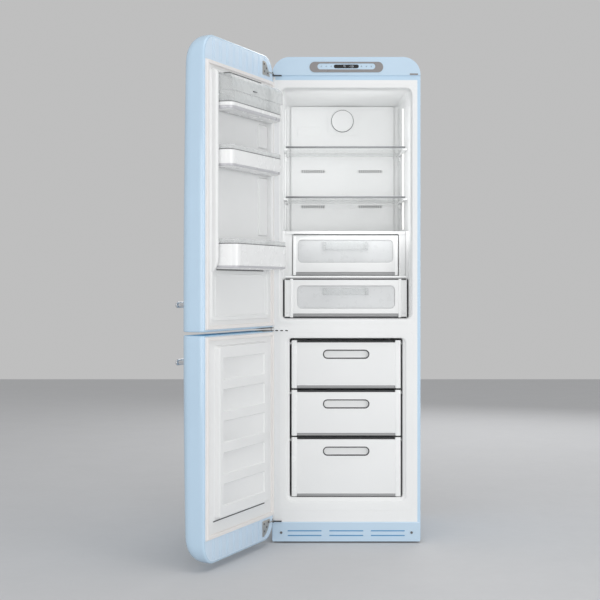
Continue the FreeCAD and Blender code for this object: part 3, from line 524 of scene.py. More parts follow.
def fridge_tub():
    """Fridge compartment."""
    floor, ceiling, back, corner = 908.0, 1838.0, 490.0, 14.0
    rings = mouth_rings(FRIDGE.x1, FRIDGE.z0, FRIDGE.z1, (266.0, 906.0, 1842.0, 24.0), (276.0, 890.0, 1855.0),
                        (258.0, floor, ceiling, 12.0, 26.0))
    rings.append(front_ring(-250.4, 250.4, floor, ceiling, back - corner, 12.0))
    for angle in (30, 60, 90):
        turn = radians(angle)
        inset, y = corner * (1 - cos(turn)), back - corner + corner * sin(turn)
        rings.append(front_ring(-250 + inset, 250 - inset, floor + inset, ceiling - inset, y, 12.0))
    tub("fridge_tub", rings, "fridge_liner")


def freezer_tub():
    """Freezer compartment, stepped over the machinery bay."""
    rings = mouth_rings(FREEZER.x1, FREEZER.z0, FREEZER.z1, (240.0, 169.0, 829.0, 20.0), (270.0, 131.0, 852.0),
                        (229.5, 183.0, 829.0, 8.0, 14.0))
    rings += [
        front_ring(-229, 229, 183, 829, 344, 8.0), front_ring(-229, 229, 300, 829, 345, 8.0),
        front_ring(-229, 229, 300, 829, 484, 8.0), front_ring(-224, 224, 305, 824, 490, 6.0),
    ]
    tub("freezer_tub", rings, "freezer_liner")


def runners():
    """Moulded ribs that carry the shelves and the freezer drawers."""
    pieces = []
    for shelf in ("shelf_upper_glass", "shelf_lower_glass"):
        top = Box(shelf).z0 - 0.3
        for side in (-1, 1):
            for y0, y1 in ((104, 250), (270, 436)):
                pieces.append(bar(side * 240, side * 256, y0, y1, top - 7, top, 2.5))
            pieces.append(bar(side * 243, side * 257, 396, 410, top - 26, top - 4, 3.5))
    finish(pieces, "shelf_supports", "cabinet", LINER)
    pieces = []
    for name in ("top", "middle", "bottom"):
        top = Box("freezer_drawer_" + name + "_front").z1 - 12
        for side in (-1, 1):
            pieces.append(bar(side * 220.5, side * 230, 40, 333, top - 6, top, 2.0))
    finish(pieces, "drawer_runners", "cabinet", LINER)


def shelf_rails():
    """Smoked front rail and clear rear rail of each shelf."""
    for shelf in ("shelf_upper", "shelf_lower"):
        box = Box(shelf + "_trims")
        front = side_bar(box.x0, box.x1, box.y0, box.y0 + 10, box.z0 + 0.5, box.z0 + 8.5, 3.4, 0.6)
        finish(front, shelf + "_front_rail", shelf, SMOKE, replaces=(shelf + "_trims",))
        rear = side_bar(box.x0, box.x1, box.y1 - 12, box.y1, box.z0 + 2, box.z1, 2.0, 0.6)
        finish(rear, shelf + "_rear_rail", shelf, CLEAR)


def duct_details():
    """Vanes in the air duct's outlets, its sensor cover and edge, the fan cover's ring and the light strips."""
    vanes = []
    count, pitch = 12, 8.5
    for z in (1547.0, 1391.0):
        for x in (-130.0, 123.0):
            for step in range(count):
                place = x + (step - (count - 1) / 2) * pitch
                vanes.append(bar(place - 0.8, place + 0.8, DUCT.y0 + 2.5, DUCT.y1 - 1, z - 6.2, z + 6.2, 0.3))
    # The vanes take the grey copy of the white moulding: painted shade inside the outlets.
    finish(vanes, "duct_vanes", "cabinet", SHADE_GREY)
    cover = front_plate(-200, -99, 1705, 1743, DUCT.y0 - 1.2, DUCT.y0 + 0.5, 4.0, 0.8)
    finish(cover, "sensor_cover", "cabinet", WHITE)
    led = Box("led_strips")
    for name, side, look, replaced in (("left", -1, WHITE, ()), ("right", 1, GLOW, ("led_strips",))):
        x0, x1 = sorted((side * led.x1, side * 248.0))
        strip = bevelled(loft([plan_ring(x0, x1, led.y0, led.y1, z, 2.0) for z in (led.z0, led.z1)]), 0.8)
        finish(strip, "led_diffuser_" + name, "cabinet", look, replaces=replaced)
    cap = Box("fan_cover")
    ring = [(0.0, 49.4), (-1.0, 49.2), (-1.4, 48.4), (-1.0, 47.6), (0.0, 47.4)]
    finish(lathe(ring, (cap.xc, cap.y0 + 0.6, cap.zc), "Y", 64), "fan_cover_ring", "cabinet", SMOKE)
    lip = front_plate(-DUCT.x1 - 4, DUCT.x1 + 4, DUCT.z0 - 4, DUCT.z1 + 3, DUCT.y1 - 4, DUCT.y1 - 0.5, 8.0, 0.8)
    finish(lip, "duct_edge", "cabinet", WHITE)


# ---- control panel ----
def control_details():
    """Touch-key marks, lit figures and the blank over the unused hinge slot."""
    marks = []
    y = PLATE.y0
    for side in (-1, 1):
        for x in (side * 61, side * 81, side * 101):
            marks.append(lathe([(0.1, 2.6), (-0.25, 2.6), (-0.25, 1.7), (0.1, 1.7)], (x, y, PLATE.zc), "Y", 20))
            if side < 0:
                mark = (x - 3.2, x + 3.2, y - 0.2, y + 0.2, PLATE.z0 - 3.6, PLATE.z0 - 2.6, 0.1)
            else:
                mark = (x - 0.7, x + 0.7, y - 0.3, y + 0.1, PLATE.zc - 0.7, PLATE.zc + 0.7, 0.2)
            marks.append(bar(*mark))
    finish(marks, "key_marks", "cabinet", MARK)
    y = DISPLAY.y0
    strokes = [(-12, -5, 3.4, 4.2), (-5.4, -4.6, -4, 4), (-12, -11.2, 0, 4), (-12, -5, -0.4, 0.4),
               (12, 15, -0.4, 0.4), (18, 18.8, -4, 4), (22, 28, 3.4, 4.2), (22, 28, -0.4, 0.4),
               (22, 28, -4.2, -3.4), (22, 22.8, -4, 4), (27.2, 28, -4, 4)]
    glyphs = [bar(x0, x1, y - 0.25, y + 0.1, DISPLAY.zc + z0, DISPLAY.zc + z1, 0.1) for x0, x1, z0, z1 in strokes]
    finish(glyphs, "display_figures", "cabinet", GLYPH)
    blank = bar(257, 290, FASCIA.y0 - 1.6, FASCIA.y0 + 0.5, 1894.5, 1901, 0.8)
    finish(blank, "hinge_slot_blank", "cabinet", BEZEL)


def cabinet_details():
    """Trims on the cabinet's front, sheets round the machinery bay, pipes, and the rear panel's details."""
    # Darker blue sheet behind the kick panel's slots: painted shade inside the slots.
    finish(bar(-252, 252, 0.1, 1.0, 22, 58, 0.2), "kick_panel_slot_shade", "cabinet", SHADED_BLUE)
    strips = [bar(-299.6, -287.6, -0.6, 0.3, low, high, 0.2) for low, high in ((92, 861), (871, 1887))]
    finish(strips, "hinge_side_strips", "cabinet", LINER)
    # Pale blue strip across the gap above the kick panel: a painted highlight.
    finish(bar(-297, 297, -2.4, 0.4, 80.6, 85.0, 0.8), "kick_panel_highlight", "cabinet", LIT_BLUE)
    # Dark ovals on the middle hinge: painted shade in its slots.
    slots = [front_plate(x - 5.7, x + 5.7, 857.8, 862.2, -1.7, -0.2, 2.1, 0.2) for x in (-282, -262, -242)]
    finish(slots, "hinge_middle_slot_shades", "cabinet", DARK)
    sheets = [bar(-296, 296, 392.5, 394.5, 19, 261, 0.5), bar(-296, 296, 394.5, 593, 259.5, 261.5, 0.5)]
    finish(sheets, "bay_sheets", "cabinet", STEEL)
    shell = Box("compressor")
    coil = Box("condenser_coil")
    pipes = [
        tube([(shell.x0 + 40, shell.yc, 150), (shell.x0, shell.yc, 190), (20, 520, 215), (-30, 505, 228),
              (coil.x1 - 2, coil.yc, 225)], 3.2),
        tube([(shell.x1 - 60, shell.yc + 40, 150), (shell.x1 - 10, shell.yc + 60, 190), (200, 565, 225),
              (205, 565, 258)], 4.0),
        tube([(coil.x0 + 20, coil.yc, 45), (coil.x0 - 8, coil.yc + 20, 60), (-250, 540, 160),
              (-250, 545, 258)], 3.2),
    ]
    finish(pipes, "refrigerant_pipes", "cabinet", COPPER)
    rear = Box("rear_panel")
    screws = []
    for z in (300, 720, 1140, 1560, 1900):
        for side in (-1, 1):
            screws.append(pan_screw((side * 284, rear.y1, z)))
    finish(screws, "rear_screws", "cabinet", STEEL)
    beads = [front_plate(x - 9, x + 9, 420, 1840, rear.y1 - 0.5, rear.y1 + 1.6, 8.9, 1.4) for x in (-150, 0, 150)]
    finish(beads, "rear_panel_beads", "cabinet", STEEL)
    gland = lathe([(0, 13), (2, 13), (4, 10), (4, 6), (0, 6)], (-245, rear.y1, 290), "Y")
    finish(gland, "cable_gland", "cabinet", BLACK_PLASTIC)


# ---- fridge drawers ----
HANDLE_REACH = 8.0


def fridge_drawer(name, posts, window, handle, lift, strip, look, pane_look):
    """Drawer front with a sunk window, two bright posts, a bar handle, a grey foot strip of painted shade and a dark
    strip of painted shade along its bottom edge.
    """
    node = name + "_front"
    box, body = Box(node), frame_body(node)
    y = box.y0 + HANDLE_REACH
    x0, x1, z0, z1 = window
    panel = front_plate(box.x0, box.x1, box.z0 + strip, box.z1, y + 1.5, box.y1, 5.0, 1.2)
    centre = front_plate(-posts, posts, box.z0 + strip, box.z1 - 1, y, y + 6, 3.0, 1.0)
    for board in (panel, centre):
        cut_out(board, [loft([front_ring(x0 - grow, x1 + grow, z0 - grow, z1 + grow, depth, 18.0 + grow)
                              for depth, grow in ((y - 1, 2.5), (y + 1.5, 0.0), (box.y1 + 1, 0.0))])])
    finish([panel, centre], name + "_face", body, look, replaces=(node,))
    pane = front_plate(x0 - 3, x1 + 3, z0 - 3, z1 + 3, y + 4.5, y + 6.5, 18.0, 0.4)
    finish(pane, name + "_window", body, pane_look)
    pieces = [front_plate(x - 6, x + 6, box.z0 + 1, box.z1 - 1, y - 2, y + 4, 2.0, 1.8) for x in (-posts, posts)]
    finish(pieces, name + "_posts", body, SHELL_WHITE)
    # Grey strip set back at the foot: painted shade.
    foot = front_plate(-posts + 4, posts - 4, box.z0 + lift, box.z0 + strip, y + 3.5, y + 8, 1.0, 0.8)
    finish(foot, name + "_foot_shade", body, SHADE_GREY)
    wings = [front_plate(min(a, b), max(a, b), box.z0, box.z0 + strip + 3, y + 1.5, box.y1, 2.0, 1.0)
             for a, b in ((box.x0, -posts - 4), (posts + 4, box.x1))]
    finish(wings, name + "_wings", body, look)
    # Dark bar along the bottom edge: painted shade in the gap under the drawer.
    base = bar(box.x0 + 2, box.x1 - 2, y + 1.2, box.y1, box.z0, box.z0 + lift - 0.4, 0.4)
    finish(base, name + "_base_shadow", body, DARK)
    low, high = handle
    grip = [side_bar(-92, 92, box.y0, box.y0 + 5.5, low, high, 2.2, 1.0)]
    for s in (-1, 1):
        grip.append(bar(s * 80, s * 92, box.y0 + 2, y + 6, low, high, 2.0))
    finish(grip, name + "_handle", body, CLEAR)


def drawer_cover_details():
    """Bright edge of the drawers' cover, the fillers at its ends, and dark strips of painted shade in the gaps round
    both drawers.
    """
    box = Box("drawer_cover_frame")
    edge = side_bar(box.x0, box.x1, box.y0 - 1.5, box.y0 + 6, box.z0 - 0.5, box.z0 + 8.5, 3.5, 0.8)
    finish(edge, "crisper_cover_edge", "cabinet", SHELL_WHITE)
    fillers = [bar(side * (box.x1 - 1), side * 257.4, box.y0 + 3, box.y0 + 8, box.z0 - 8, box.z1, 0.8)
               for side in (-1, 1)]
    finish(fillers, "drawer_cover_fillers", "cabinet", DIM_WHITE)
    # Dark strips in the gaps above the fresh drawer and below the cover: painted shade.
    lines = [bar(-214, 214, box.y0 + 1.5, box.y0 + 7, 1251.2, 1254.3, 0.3),
             bar(-246, 246, box.y0 + 1.5, box.y0 + 7, box.z0 - 2.5, box.z0 - 0.6, 0.3)]
    finish(lines, "drawer_gap_shadows", "cabinet", DARK)
    crisper = Box("crisper_front")
    y = crisper.y0 + HANDLE_REACH
    # Dark strips round the crisper's front: painted shade in the gap between the drawer and the compartment.
    edge_shades = [bar(side * 250.4, side * 253.2, y + 1, crisper.y1 + 2, crisper.z0 - 1.2, crisper.z1 - 1, 0.8)
             for side in (-1, 1)]
    edge_shades.append(bar(-253.2, 253.2, y + 1, crisper.y1 + 2, crisper.z0 - 1.6, crisper.z0 + 0.6, 0.6))
    edge_shades.append(bar(-248, 248, y - 0.2, y + 3, crisper.z1 - 5.5, crisper.z1 - 1.2, 0.6))
    finish(edge_shades, "crisper_edge_shadow", "crisper", DARK)


# ---- freezer drawers ----
PULL_HALF, PULL_HEIGHT, PULL_DROP = 93.0, 17.0, 57.0


def freezer_drawer(which):
    """Freezer drawer front: panel between bright posts, sunk pill pull with a ring of painted shade round it, and
    strips of painted shade along its foot and top.
    """
    name = "freezer_drawer_" + which
    node = name + "_front"
    box, body = Box(node), frame_body(node)
    y, pull = box.y0, box.z1 - PULL_DROP
    inner, outer = 199.0, 222.0
    top_strip, foot_strip = 9.0, 11.0

    def pill(grow, depth):
        return front_ring(-PULL_HALF - grow, PULL_HALF + grow, pull - PULL_HEIGHT - grow, pull + PULL_HEIGHT + grow,
                          y + depth, PULL_HEIGHT - 0.1 + grow)

    panel = front_plate(-inner - 3, inner + 3, box.z0 + foot_strip, box.z1 - top_strip, y + 1.5, y + 20, 2.0, 1.0)
    cut_out(panel, [loft([pill(0.0, -1.0), pill(-2.5, 5.0), pill(-4.0, 14.0)])])
    finish(panel, name + "_face", body, WHITE, replaces=(node,))
    # Dark ring round the pull: painted shade in the seam.
    outline = loft([pill(1.6, 2.2), pill(1.6, 0.9), pill(-2.4, 0.9), pill(-3.0, 6.0)], loop=True)
    finish(outline, name + "_pull_shadow", body, DARK)
    posts = []
    for x0, x1 in ((-outer, -inner), (inner, outer)):
        rings = [plan_ring(x0, x1, y - 0.5, y + 22, z, (6.0, 6.0, 1.0, 1.0)) for z in (box.z0, box.z1)]
        posts.append(bevelled(loft(rings), 1.2))
    finish(posts, name + "_posts", body, SHELL_WHITE)
    # Grey strip set back at the foot: painted shade.
    foot = front_plate(-inner + 1, inner - 1, box.z0 + 0.5, box.z0 + foot_strip - 0.5, y + 3, y + 18, 1.0, 0.8)
    finish(foot, name + "_foot_shade", body, SHADE_GREY)
    # Dark bar along the bottom edge: painted shade in the gap under the drawer.
    finish(bar(-outer, outer, y + 1, y + 8, box.z0 - 1.7, box.z0 + 0.4, 0.4), name + "_base_shadow", body, DARK)
    # Dark strip across the top: painted shade in the gap above the drawer.
    back = front_plate(-inner + 1, inner - 1, box.z1 - top_strip, box.z1 - 1.5, y + 12, y + 20, 1.0, 0.6)
    finish(back, name + "_top_shadow", body, DARK)


# ---- doors ----
DOOR_HALF = 300.5
DOOR_FRONT = -106.0
DOOR_THICK = INNER_FACE - DOOR_FRONT
END_CURVE, SIDE_CURVE, SPLIT_CURVE, EDGE_CURVE = 74.0, 28.0, 6.0, 7.0
CORNER = 79.0  # corner radius of the inner face's outline
CROWN_MIDDLE, CROWN_SPAN = 916.0, 80400.0  # the front's bow: height of its crest, and its flatness
DOOR_ENDS = {"upper_door": (873.0, 1960.0), "lower_door": (860.0, 25.0)}  # split end, outer end
LINING_HALF = 289.0
# Heights of each bin: foot and top of its white band, and its rim.
BALCONIES = {"balcony_top": (1700.0, 1714.0, 1755.0), "balcony_middle": (1488.0, 1540.0, 1559.0),
             "balcony_bottom": (1115.0, 1195.0, 1214.0)}


def raised(n):
    """Depth coordinate of a point n millimetres proud of a door's inner face."""
    return INNER_FACE + n


def door_ring(door, inset_side, inset_end, inset_split, depth, corner):
    """Outline of a door at one depth, crowned towards its front, with points up both long sides."""
    split, end = DOOR_ENDS[door]
    up = 1 if end > split else -1
    ends = sorted(((split + up * inset_split, SPLIT_CURVE), (end - up * inset_end, corner)))
    (low, low_radius), (high, high_radius) = ends
    half = DOOR_HALF - inset_side
    outline = rounded(-half, half, low, high, (low_radius, low_radius, high_radius, high_radius))
    count = len(outline) // 4
    rise = [low + low_radius + (high - high_radius - low - low_radius) * k / 17 for k in range(1, 17)]
    points = (outline[:2 * count] + [(half, z) for z in rise]
              + outline[2 * count:] + [(-half, z) for z in rise[::-1]])
    fade = max(0.0, 1.0 - depth / DOOR_THICK) ** 2
    return [Vector((x, DOOR_FRONT + depth + fade * (z - CROWN_MIDDLE) ** 2 / CROWN_SPAN, z)) for x, z in points]


def ladder(start, count, steps=8):
    """Faces that close a door outline with rungs between its two long sides."""
    right = [start + k for k in range(steps, steps + (count - 2 * steps) // 2 + steps)]
    left = [start + steps - 1 - k if k < steps else start + count + steps - 1 - k for k in range(len(right))]
    return [(left[k], right[k], right[k + 1], left[k + 1]) for k in range(len(right) - 1)]


def curve_inset(radius, depth):
    """How far a rounded edge has drawn in at a depth below its crest."""
    return radius - sqrt(radius ** 2 - (radius - depth) ** 2) if depth < radius else 0.0


def door_shell(door, shrink):
    """Door body as one crowned, fully rounded shape, drawn in all round by shrink."""
    rings = []
    for angle in (0, 5, 10, 16, 24, 33, 42, 52, 64, 76, 90):
        depth = END_CURVE * (1 - cos(radians(angle)))
        corner = 62.0 + 18.0 * min(1.0, depth / END_CURVE) - shrink
        rings.append(door_ring(door, curve_inset(SIDE_CURVE, depth) + shrink, curve_inset(END_CURVE, depth) + shrink,
                               curve_inset(SPLIT_CURVE, depth) + shrink, depth + shrink, corner))
    for angle in (0, 25, 50, 70, 90):
        turn = radians(angle)
        inset = EDGE_CURVE * (1 - cos(turn)) + shrink
        depth = DOOR_THICK - shrink - EDGE_CURVE * (1 - sin(turn))
        rings.append(door_ring(door, inset, inset, inset, depth, CORNER - inset))
    inset = EDGE_CURVE + 3.0 + shrink
    rings.append(door_ring(door, inset, inset, inset, DOOR_THICK - shrink, CORNER - inset))
    count = len(rings[0])
    faces = ladder(0, count) + ladder((len(rings) - 1) * count, count) + skin_faces(len(rings), count)
    return mesh_object([v for ring in rings for v in ring], faces, SWING)


def door_body(door):
    """Painted shell with the hinge pocket, foam core, ribbed end moulding, white edging and the split's strip."""
    split, end = DOOR_ENDS[door]
    up = 1 if end > split else -1
    bracket = Box("hinge_top" if up > 0 else "hinge_bottom")
    arm = bracket.z0 if up > 0 else bracket.z1 - 15
    pocket = bar(-DOOR_HALF - 4, PIN.x + 15, PIN.y - 18, INNER_FACE + 6, arm - 6, arm + 20, 0.0, SWING)
    shell = cut_out(door_shell(door, 0.0), [pocket])
    finish(shell, door + "_body", door, ENAMEL, 40.0, (door + "_skin",))
    core = door_shell(door, 4.0)
    finish(core, door + "_core", door, FOAM, replaces=(door + "_foam",))
    low, high = sorted((end - up * 95.0, end - up * (EDGE_CURVE + 1.5)))
    big, small = 71.0, 1.0
    radii = (small, small, big, big) if up > 0 else (big, big, small, small)
    side = DOOR_HALF - EDGE_CURVE - 1.5
    pieces = [front_plate(-side, side, low, high, INNER_FACE - 1.0, INNER_FACE + 0.25, radii, 0.2, SWING)]
    for pair in range(-4, 5):
        for offset in (-6.5, 6.5):
            x = pair * 56.0 + offset
            drop = max(0.0, abs(x) - (side - big))
            reach = big - sqrt(max(big ** 2 - drop ** 2, 0.0)) + 3.0
            ends = (low + 6, high - reach) if up > 0 else (low + reach, high - 6)
            rings = [plan_ring(x - wide, x + wide, INNER_FACE, INNER_FACE + proud, z, 0.8)
                     for z, wide, proud in ((ends[0], 1.2, 0.4), (ends[0] + 4, 2.4, 1.8), (ends[1] - 4, 2.4, 1.8),
                                            (ends[1], 1.2, 0.4))]
            pieces.append(loft(rings, SWING))
    # The end moulding takes the lighter copy of the blue moulding, which is painted light.
    finish(pieces, door + "_cap_moulding", door, LIT_BLUE, 40.0, (door + "_end_cap",))
    edge_x, edge_y = -DOOR_HALF + EDGE_CURVE, INNER_FACE - EDGE_CURVE
    section = [(edge_x + 6, INNER_FACE + 0.9), (edge_x + 6, INNER_FACE)]
    for reach, angles in ((EDGE_CURVE, (0, 15, 30, 45, 60)), (EDGE_CURVE + 0.8, (60, 45, 30, 15, 0))):
        section += [(edge_x - reach * sin(radians(a)), edge_y + reach * cos(radians(a))) for a in angles]
    strip = loft([[Vector((x, y, z)) for x, y in section] for z in sorted((split + up * 12, end - up * 100))], SWING)
    finish(strip, door + "_edging", door, LINER)
    if up < 0:
        # Strip in brightened blue on the freezer door's top: painted light where the fridge door shades it.
        top = loft([plan_ring(-284, 293, DOOR_FRONT + 8, INNER_FACE - 6, z, 6.0)
                    for z in (split - 0.5, split + 0.4)], SWING)
        finish(bevelled(top, 0.15), door + "_split_strip", door, BRIGHTENED_BLUE)


def gasket(door):
    """Bellows seal round a door's lining."""
    node = door + "_gasket"
    box = Box(node, True)
    half = LINING_HALF + 1
    profile = ((0, 0), (0, 2.4), (1.8, 3.2), (0.8, 5.0), (1.0, 8.6), (2.6, 10.5), (7.5, 9.9), (12.0, 10.5),
               (13.8, 8.6), (13.6, 5.0), (13.0, 3.2), (15.0, 2.4), (15.0, 0))
    rings = [front_ring(-half + inset, half - inset, box.z0 + inset, box.z1 - inset, box.y0 + high,
                        3.0 if inset < 8 else 2.0) for inset, high in profile]
    finish(loft(rings, SWING, loop=True), door + "_seal", door, SEAL, replaces=(node,))


def handle(door):
    """Chrome bar handle on two collared posts."""
    node = door + "_handle"
    box = Box(node, True)
    rings = []
    for depth, inset in ((0, 4.5), (0.8, 2.2), (2.6, 0.6), (5, 0.0), (7.4, 0.6), (9.2, 2.2), (10, 4.5)):
        rings.append(front_ring(box.x0 + inset, box.x1 - inset, box.z0 + inset, box.z1 - inset, box.y0 + depth,
                                (box.z1 - box.z0) / 2 - inset - 0.02))
    pieces = [loft(rings, SWING)]
    reach = box.y1 - box.y0
    for side in (box.x0 + 16, box.x1 - 16):
        profile = [(7, 7.0), (reach - 9, 7.5), (reach - 6, 9.5), (reach - 1.5, 10.5), (reach, 10.5)]
        pieces.append(lathe(profile, (side, box.y0, box.zc), "Y", 28, SWING))
    finish(pieces, door + "_bar_handle", door, CHROME, replaces=(node,))


def eye(low, high):
    """Ring that turns on the hinge pin."""
    profile = [(0.0, 4.1), (0.0, 6.6), (0.5, 7.0), (high - low - 0.5, 7.0), (high - low, 6.6), (high - low, 4.1)]
    return lathe(profile, (PIN.x, PIN.y, low), "Z", 28, SWING)


def hinge_leaf(door):
    """Steel leaf on the end moulding with its screws and eye, and the bearing strip on the split end."""
    split, end = DOOR_ENDS[door]
    if end > split:
        points = [(-262, 1879), (-259, 1890), (-243, 1913), (-226, 1931), (-220, 1934), (-200, 1934), (-197, 1931),
                  (-197, 1881), (-199, 1879)]
        holes = ((-208, 1922), (-210, 1893), (-242, 1890), (-230, 1908))
        lug, low, high = 1895.0, split - 3.0, split
    else:
        points = [(-264, 107), (-261, 94), (-247, 72), (-228, 54), (-208, 45), (-199, 45), (-196, 48), (-196, 105),
                  (-198, 107)]
        holes = ((-208, 95), (-210, 66), (-250, 96), (-232, 80))
        lug, low, high = 91.0, split, split + 2.6
    leaf = loft([[Vector((x, y, z)) for x, z in points] for y in (raised(0), raised(2.2))], SWING)
    pieces = [bevelled(leaf, 0.7), eye(lug, lug + 4.0),
              bar(PIN.x + 2, -240, raised(-0.5), raised(2), lug, lug + 4, 0.6, SWING),
              bar(PIN.x + 3, PIN.x + 12, PIN.y - 2, raised(2), lug, lug + 4, 0.6, SWING)]
    finish(pieces, door + "_hinge_leaf", door, BRACKET, 38.0, (door + "_hinge_plate",))
    screws = [pan_screw((x, raised(2.1), z), SWING) for x, z in holes]
    finish(screws, door + "_hinge_screws", door, DARK_STEEL)
    pieces = [bar(-295, -212, -50, -13, low, high, 0.7, SWING),
              bar(PIN.x + 4.5, -288, PIN.y - 6, PIN.y + 3, low, high, 0.5, SWING), eye(low, high)]
    finish(pieces, door + "_split_bearing", door, DARK_STEEL)


def upper_lining():
    """Fridge door lining: border, raised frame, sunk field, side dykes with the bins' ledges, panel, pilasters."""
    box = Box("upper_door_liner", True)
    low, high = 912.0, 1838.0
    rings = [front_ring(-LINING_HALF, LINING_HALF, 882, box.z1, raised(-2), 3.0),
             front_ring(-LINING_HALF, LINING_HALF, 882, box.z1, raised(0.4), 3.0)]
    for half, grow, n, radius in ((253, 3, 0.4, 20), (251, 1, 1.5, 19), (249, 0, 4.0, 18), (247.5, -1.5, 5.8, 17),
                                  (245, -4, 6.4, 16), (236, -12, 6.4, 12), (234, -14, 5.6, 11), (233, -15, 3.0, 10),
                                  (230, -18, 1.6, 10)):
        rings.append(front_ring(-half, half, low - grow, high + grow, raised(n), radius))
    plate = loft(rings, SWING)
    finish(plate, "upper_door_lining", "upper_door", LINER, replaces=("upper_door_liner",))
    dykes = []
    for side in (-1, 1):
        rings = []
        for z, tip, spread in ((1092, 3, 3.0), (1096, 9, 1.5), (1104, 16, 0.5), (1116, 22, 0.0), (1132, 26, 0.0),
                               (1150, 27, 0.0), (1810, 27, 0.0), (1822, 25, 0.0), (1830, 18, 0.5), (1834, 6, 1.0)):
            x0, x1 = sorted((side * (231 - spread), side * (248 + spread)))
            top = min(7.0, tip * 0.45)
            rings.append(plan_ring(x0, x1, raised(0.5), raised(tip), z, (SHARP, SHARP, top, top)))
        dykes.append(loft(rings, SWING))
        for _, _, rim in BALCONIES.values():
            dykes.append(bar(side * 227.4, side * 233, raised(11), raised(24), rim - 17.3, rim - 12.3, 1.5, SWING))
    finish(dykes, "upper_door_dykes", "upper_door", LINER)
    rings = [front_ring(-216 + inset, 216 - inset, 926 + inset, 1086 - inset, raised(n), 22.0 - inset)
             for inset, n in ((0, 1.0), (0.8, 2.8), (2.4, 3.4), (5.0, 3.4), (6.6, 2.8), (7.4, 1.4))]
    finish(loft(rings, SWING), "upper_door_panel", "upper_door", LINER)
    pilasters = []
    for z0, z1 in ((1238, 1468), (1583, 1677)):
        rings = [plan_ring(-230, -150, raised(1), raised(n), z, (SHARP, SHARP, 2.0, 4.0))
                 for z, n in ((z0, 2.5), (z0 + 4, 7.0), (z1 - 4, 7.0), (z1, 2.5))]
        pilasters.append(loft(rings, SWING))
    finish(pilasters, "upper_door_pilasters", "upper_door", LINER)
    # Dark strip under the bottom bin, at the sunk panel's top edge: painted shadow.
    line = bar(-200, 206, raised(1), raised(2.6), 1098.4, 1102.0, 0.6, SWING)
    finish(line, "upper_door_shadow_line", "upper_door", DARK)


def lower_lining():
    """Freezer door lining: flat border, deep plug with a raised edge and five sunk rectangles."""
    box = Box("lower_door_liner", True)
    rings = [front_ring(-LINING_HALF, LINING_HALF, box.z0, 851, raised(-2), 3.0),
             front_ring(-LINING_HALF, LINING_HALF, box.z0, 851, raised(0.4), 3.0)]
    for half, n, radius in ((222, 0.4, 16), (219, 1.5, 15), (217, 6, 14), (215, 17, 12), (214, 20.5, 11),
                            (212, 21.8, 10), (209, 22.0, 9)):
        rings.append(front_ring(-half, half, 188 - (half - 215), 818 + (half - 215), raised(n), radius))
    plate = loft(rings, SWING)
    cutters = []
    for row in range(5):
        z = 271 + row * 116.0
        cutters.append(loft([front_ring(-170 - g, 186 + g, z - 40 - g, z + 40 + g, raised(n), 4.0 + g)
                             for n, g in ((16.6, -3.0), (17.4, -1.4), (21.2, 0.8), (24.0, 3.6))], SWING))
    cut_out(plate, cutters)
    finish(plate, "lower_door_lining", "lower_door", LINER, 30.0, ("lower_door_liner",))
    # Dark strip just under the plug: painted shadow.
    line = bar(-212, 230, raised(0.2), raised(1.8), 176.5, 180.3, 0.6, SWING)
    finish(line, "lower_door_shadow_line", "lower_door", DARK)


def balcony(name, band_low, band_high, rim):
    """Door bin: silver base trim, white band, and a clear rim with a dark parting line."""
    box = Box(name, True)
    half, low = 226.0, box.z0

    def hoops(*stations, loop=False):
        rings = []
        for z, inset in stations:
            corner = max(30.0 - inset, 1.0)
            rings.append(plan_ring(-half + inset, half - inset, box.y0 + inset, box.y1 - inset, z,
                                   (3.0, 3.0, corner, corner)))
        return loft(rings, SWING, loop=loop)

    trim = hoops((band_low + 0.5, 4), (band_low + 0.5, 1.2), (band_low - 2, 0.8), (low + 6, 1.6), (low + 4, 2.6),
                 (low + 4, 8.0))
    finish(trim, name + "_trim", name, TRIM)
    band = hoops((low, 14.0), (low + 0.6, 10.0), (low + 3.8, 6.0), (low + 4.2, 4.2), (band_low, 1.4),
                 (band_low + 1, 0.2), (band_high - 1, 0.0), (band_high, 0.8), (band_high, 3.4), (low + 8, 4.0),
                 (low + 7, 6.0))
    finish(band, name + "_band", name, SHELL_WHITE, replaces=(name,))
    line = hoops((band_high - 0.5, 3.2), (band_high - 0.5, 0.4), (band_high + 1.9, 0.4), (band_high + 1.9, 3.2),
                 loop=True)
    finish(line, name + "_parting_line", name, DARK)
    wall = hoops((band_high - 6, 3.3), (band_high + 1.2, 3.2), (band_high + 2.0, 0.6), (rim - 1.2, 0.2), (rim, 0.9),
                 (rim, 2.4), (rim - 1, 3.0), (band_high - 6, 5.0), loop=True)
    finish(wall, name + "_rim", name, CLEAR)
    lips = [bar(side * 225, side * 230.4, raised(10), raised(25), rim - 12, rim - 7, 1.2, SWING) for side in (-1, 1)]
    finish(lips, name + "_lips", name, CLEAR)


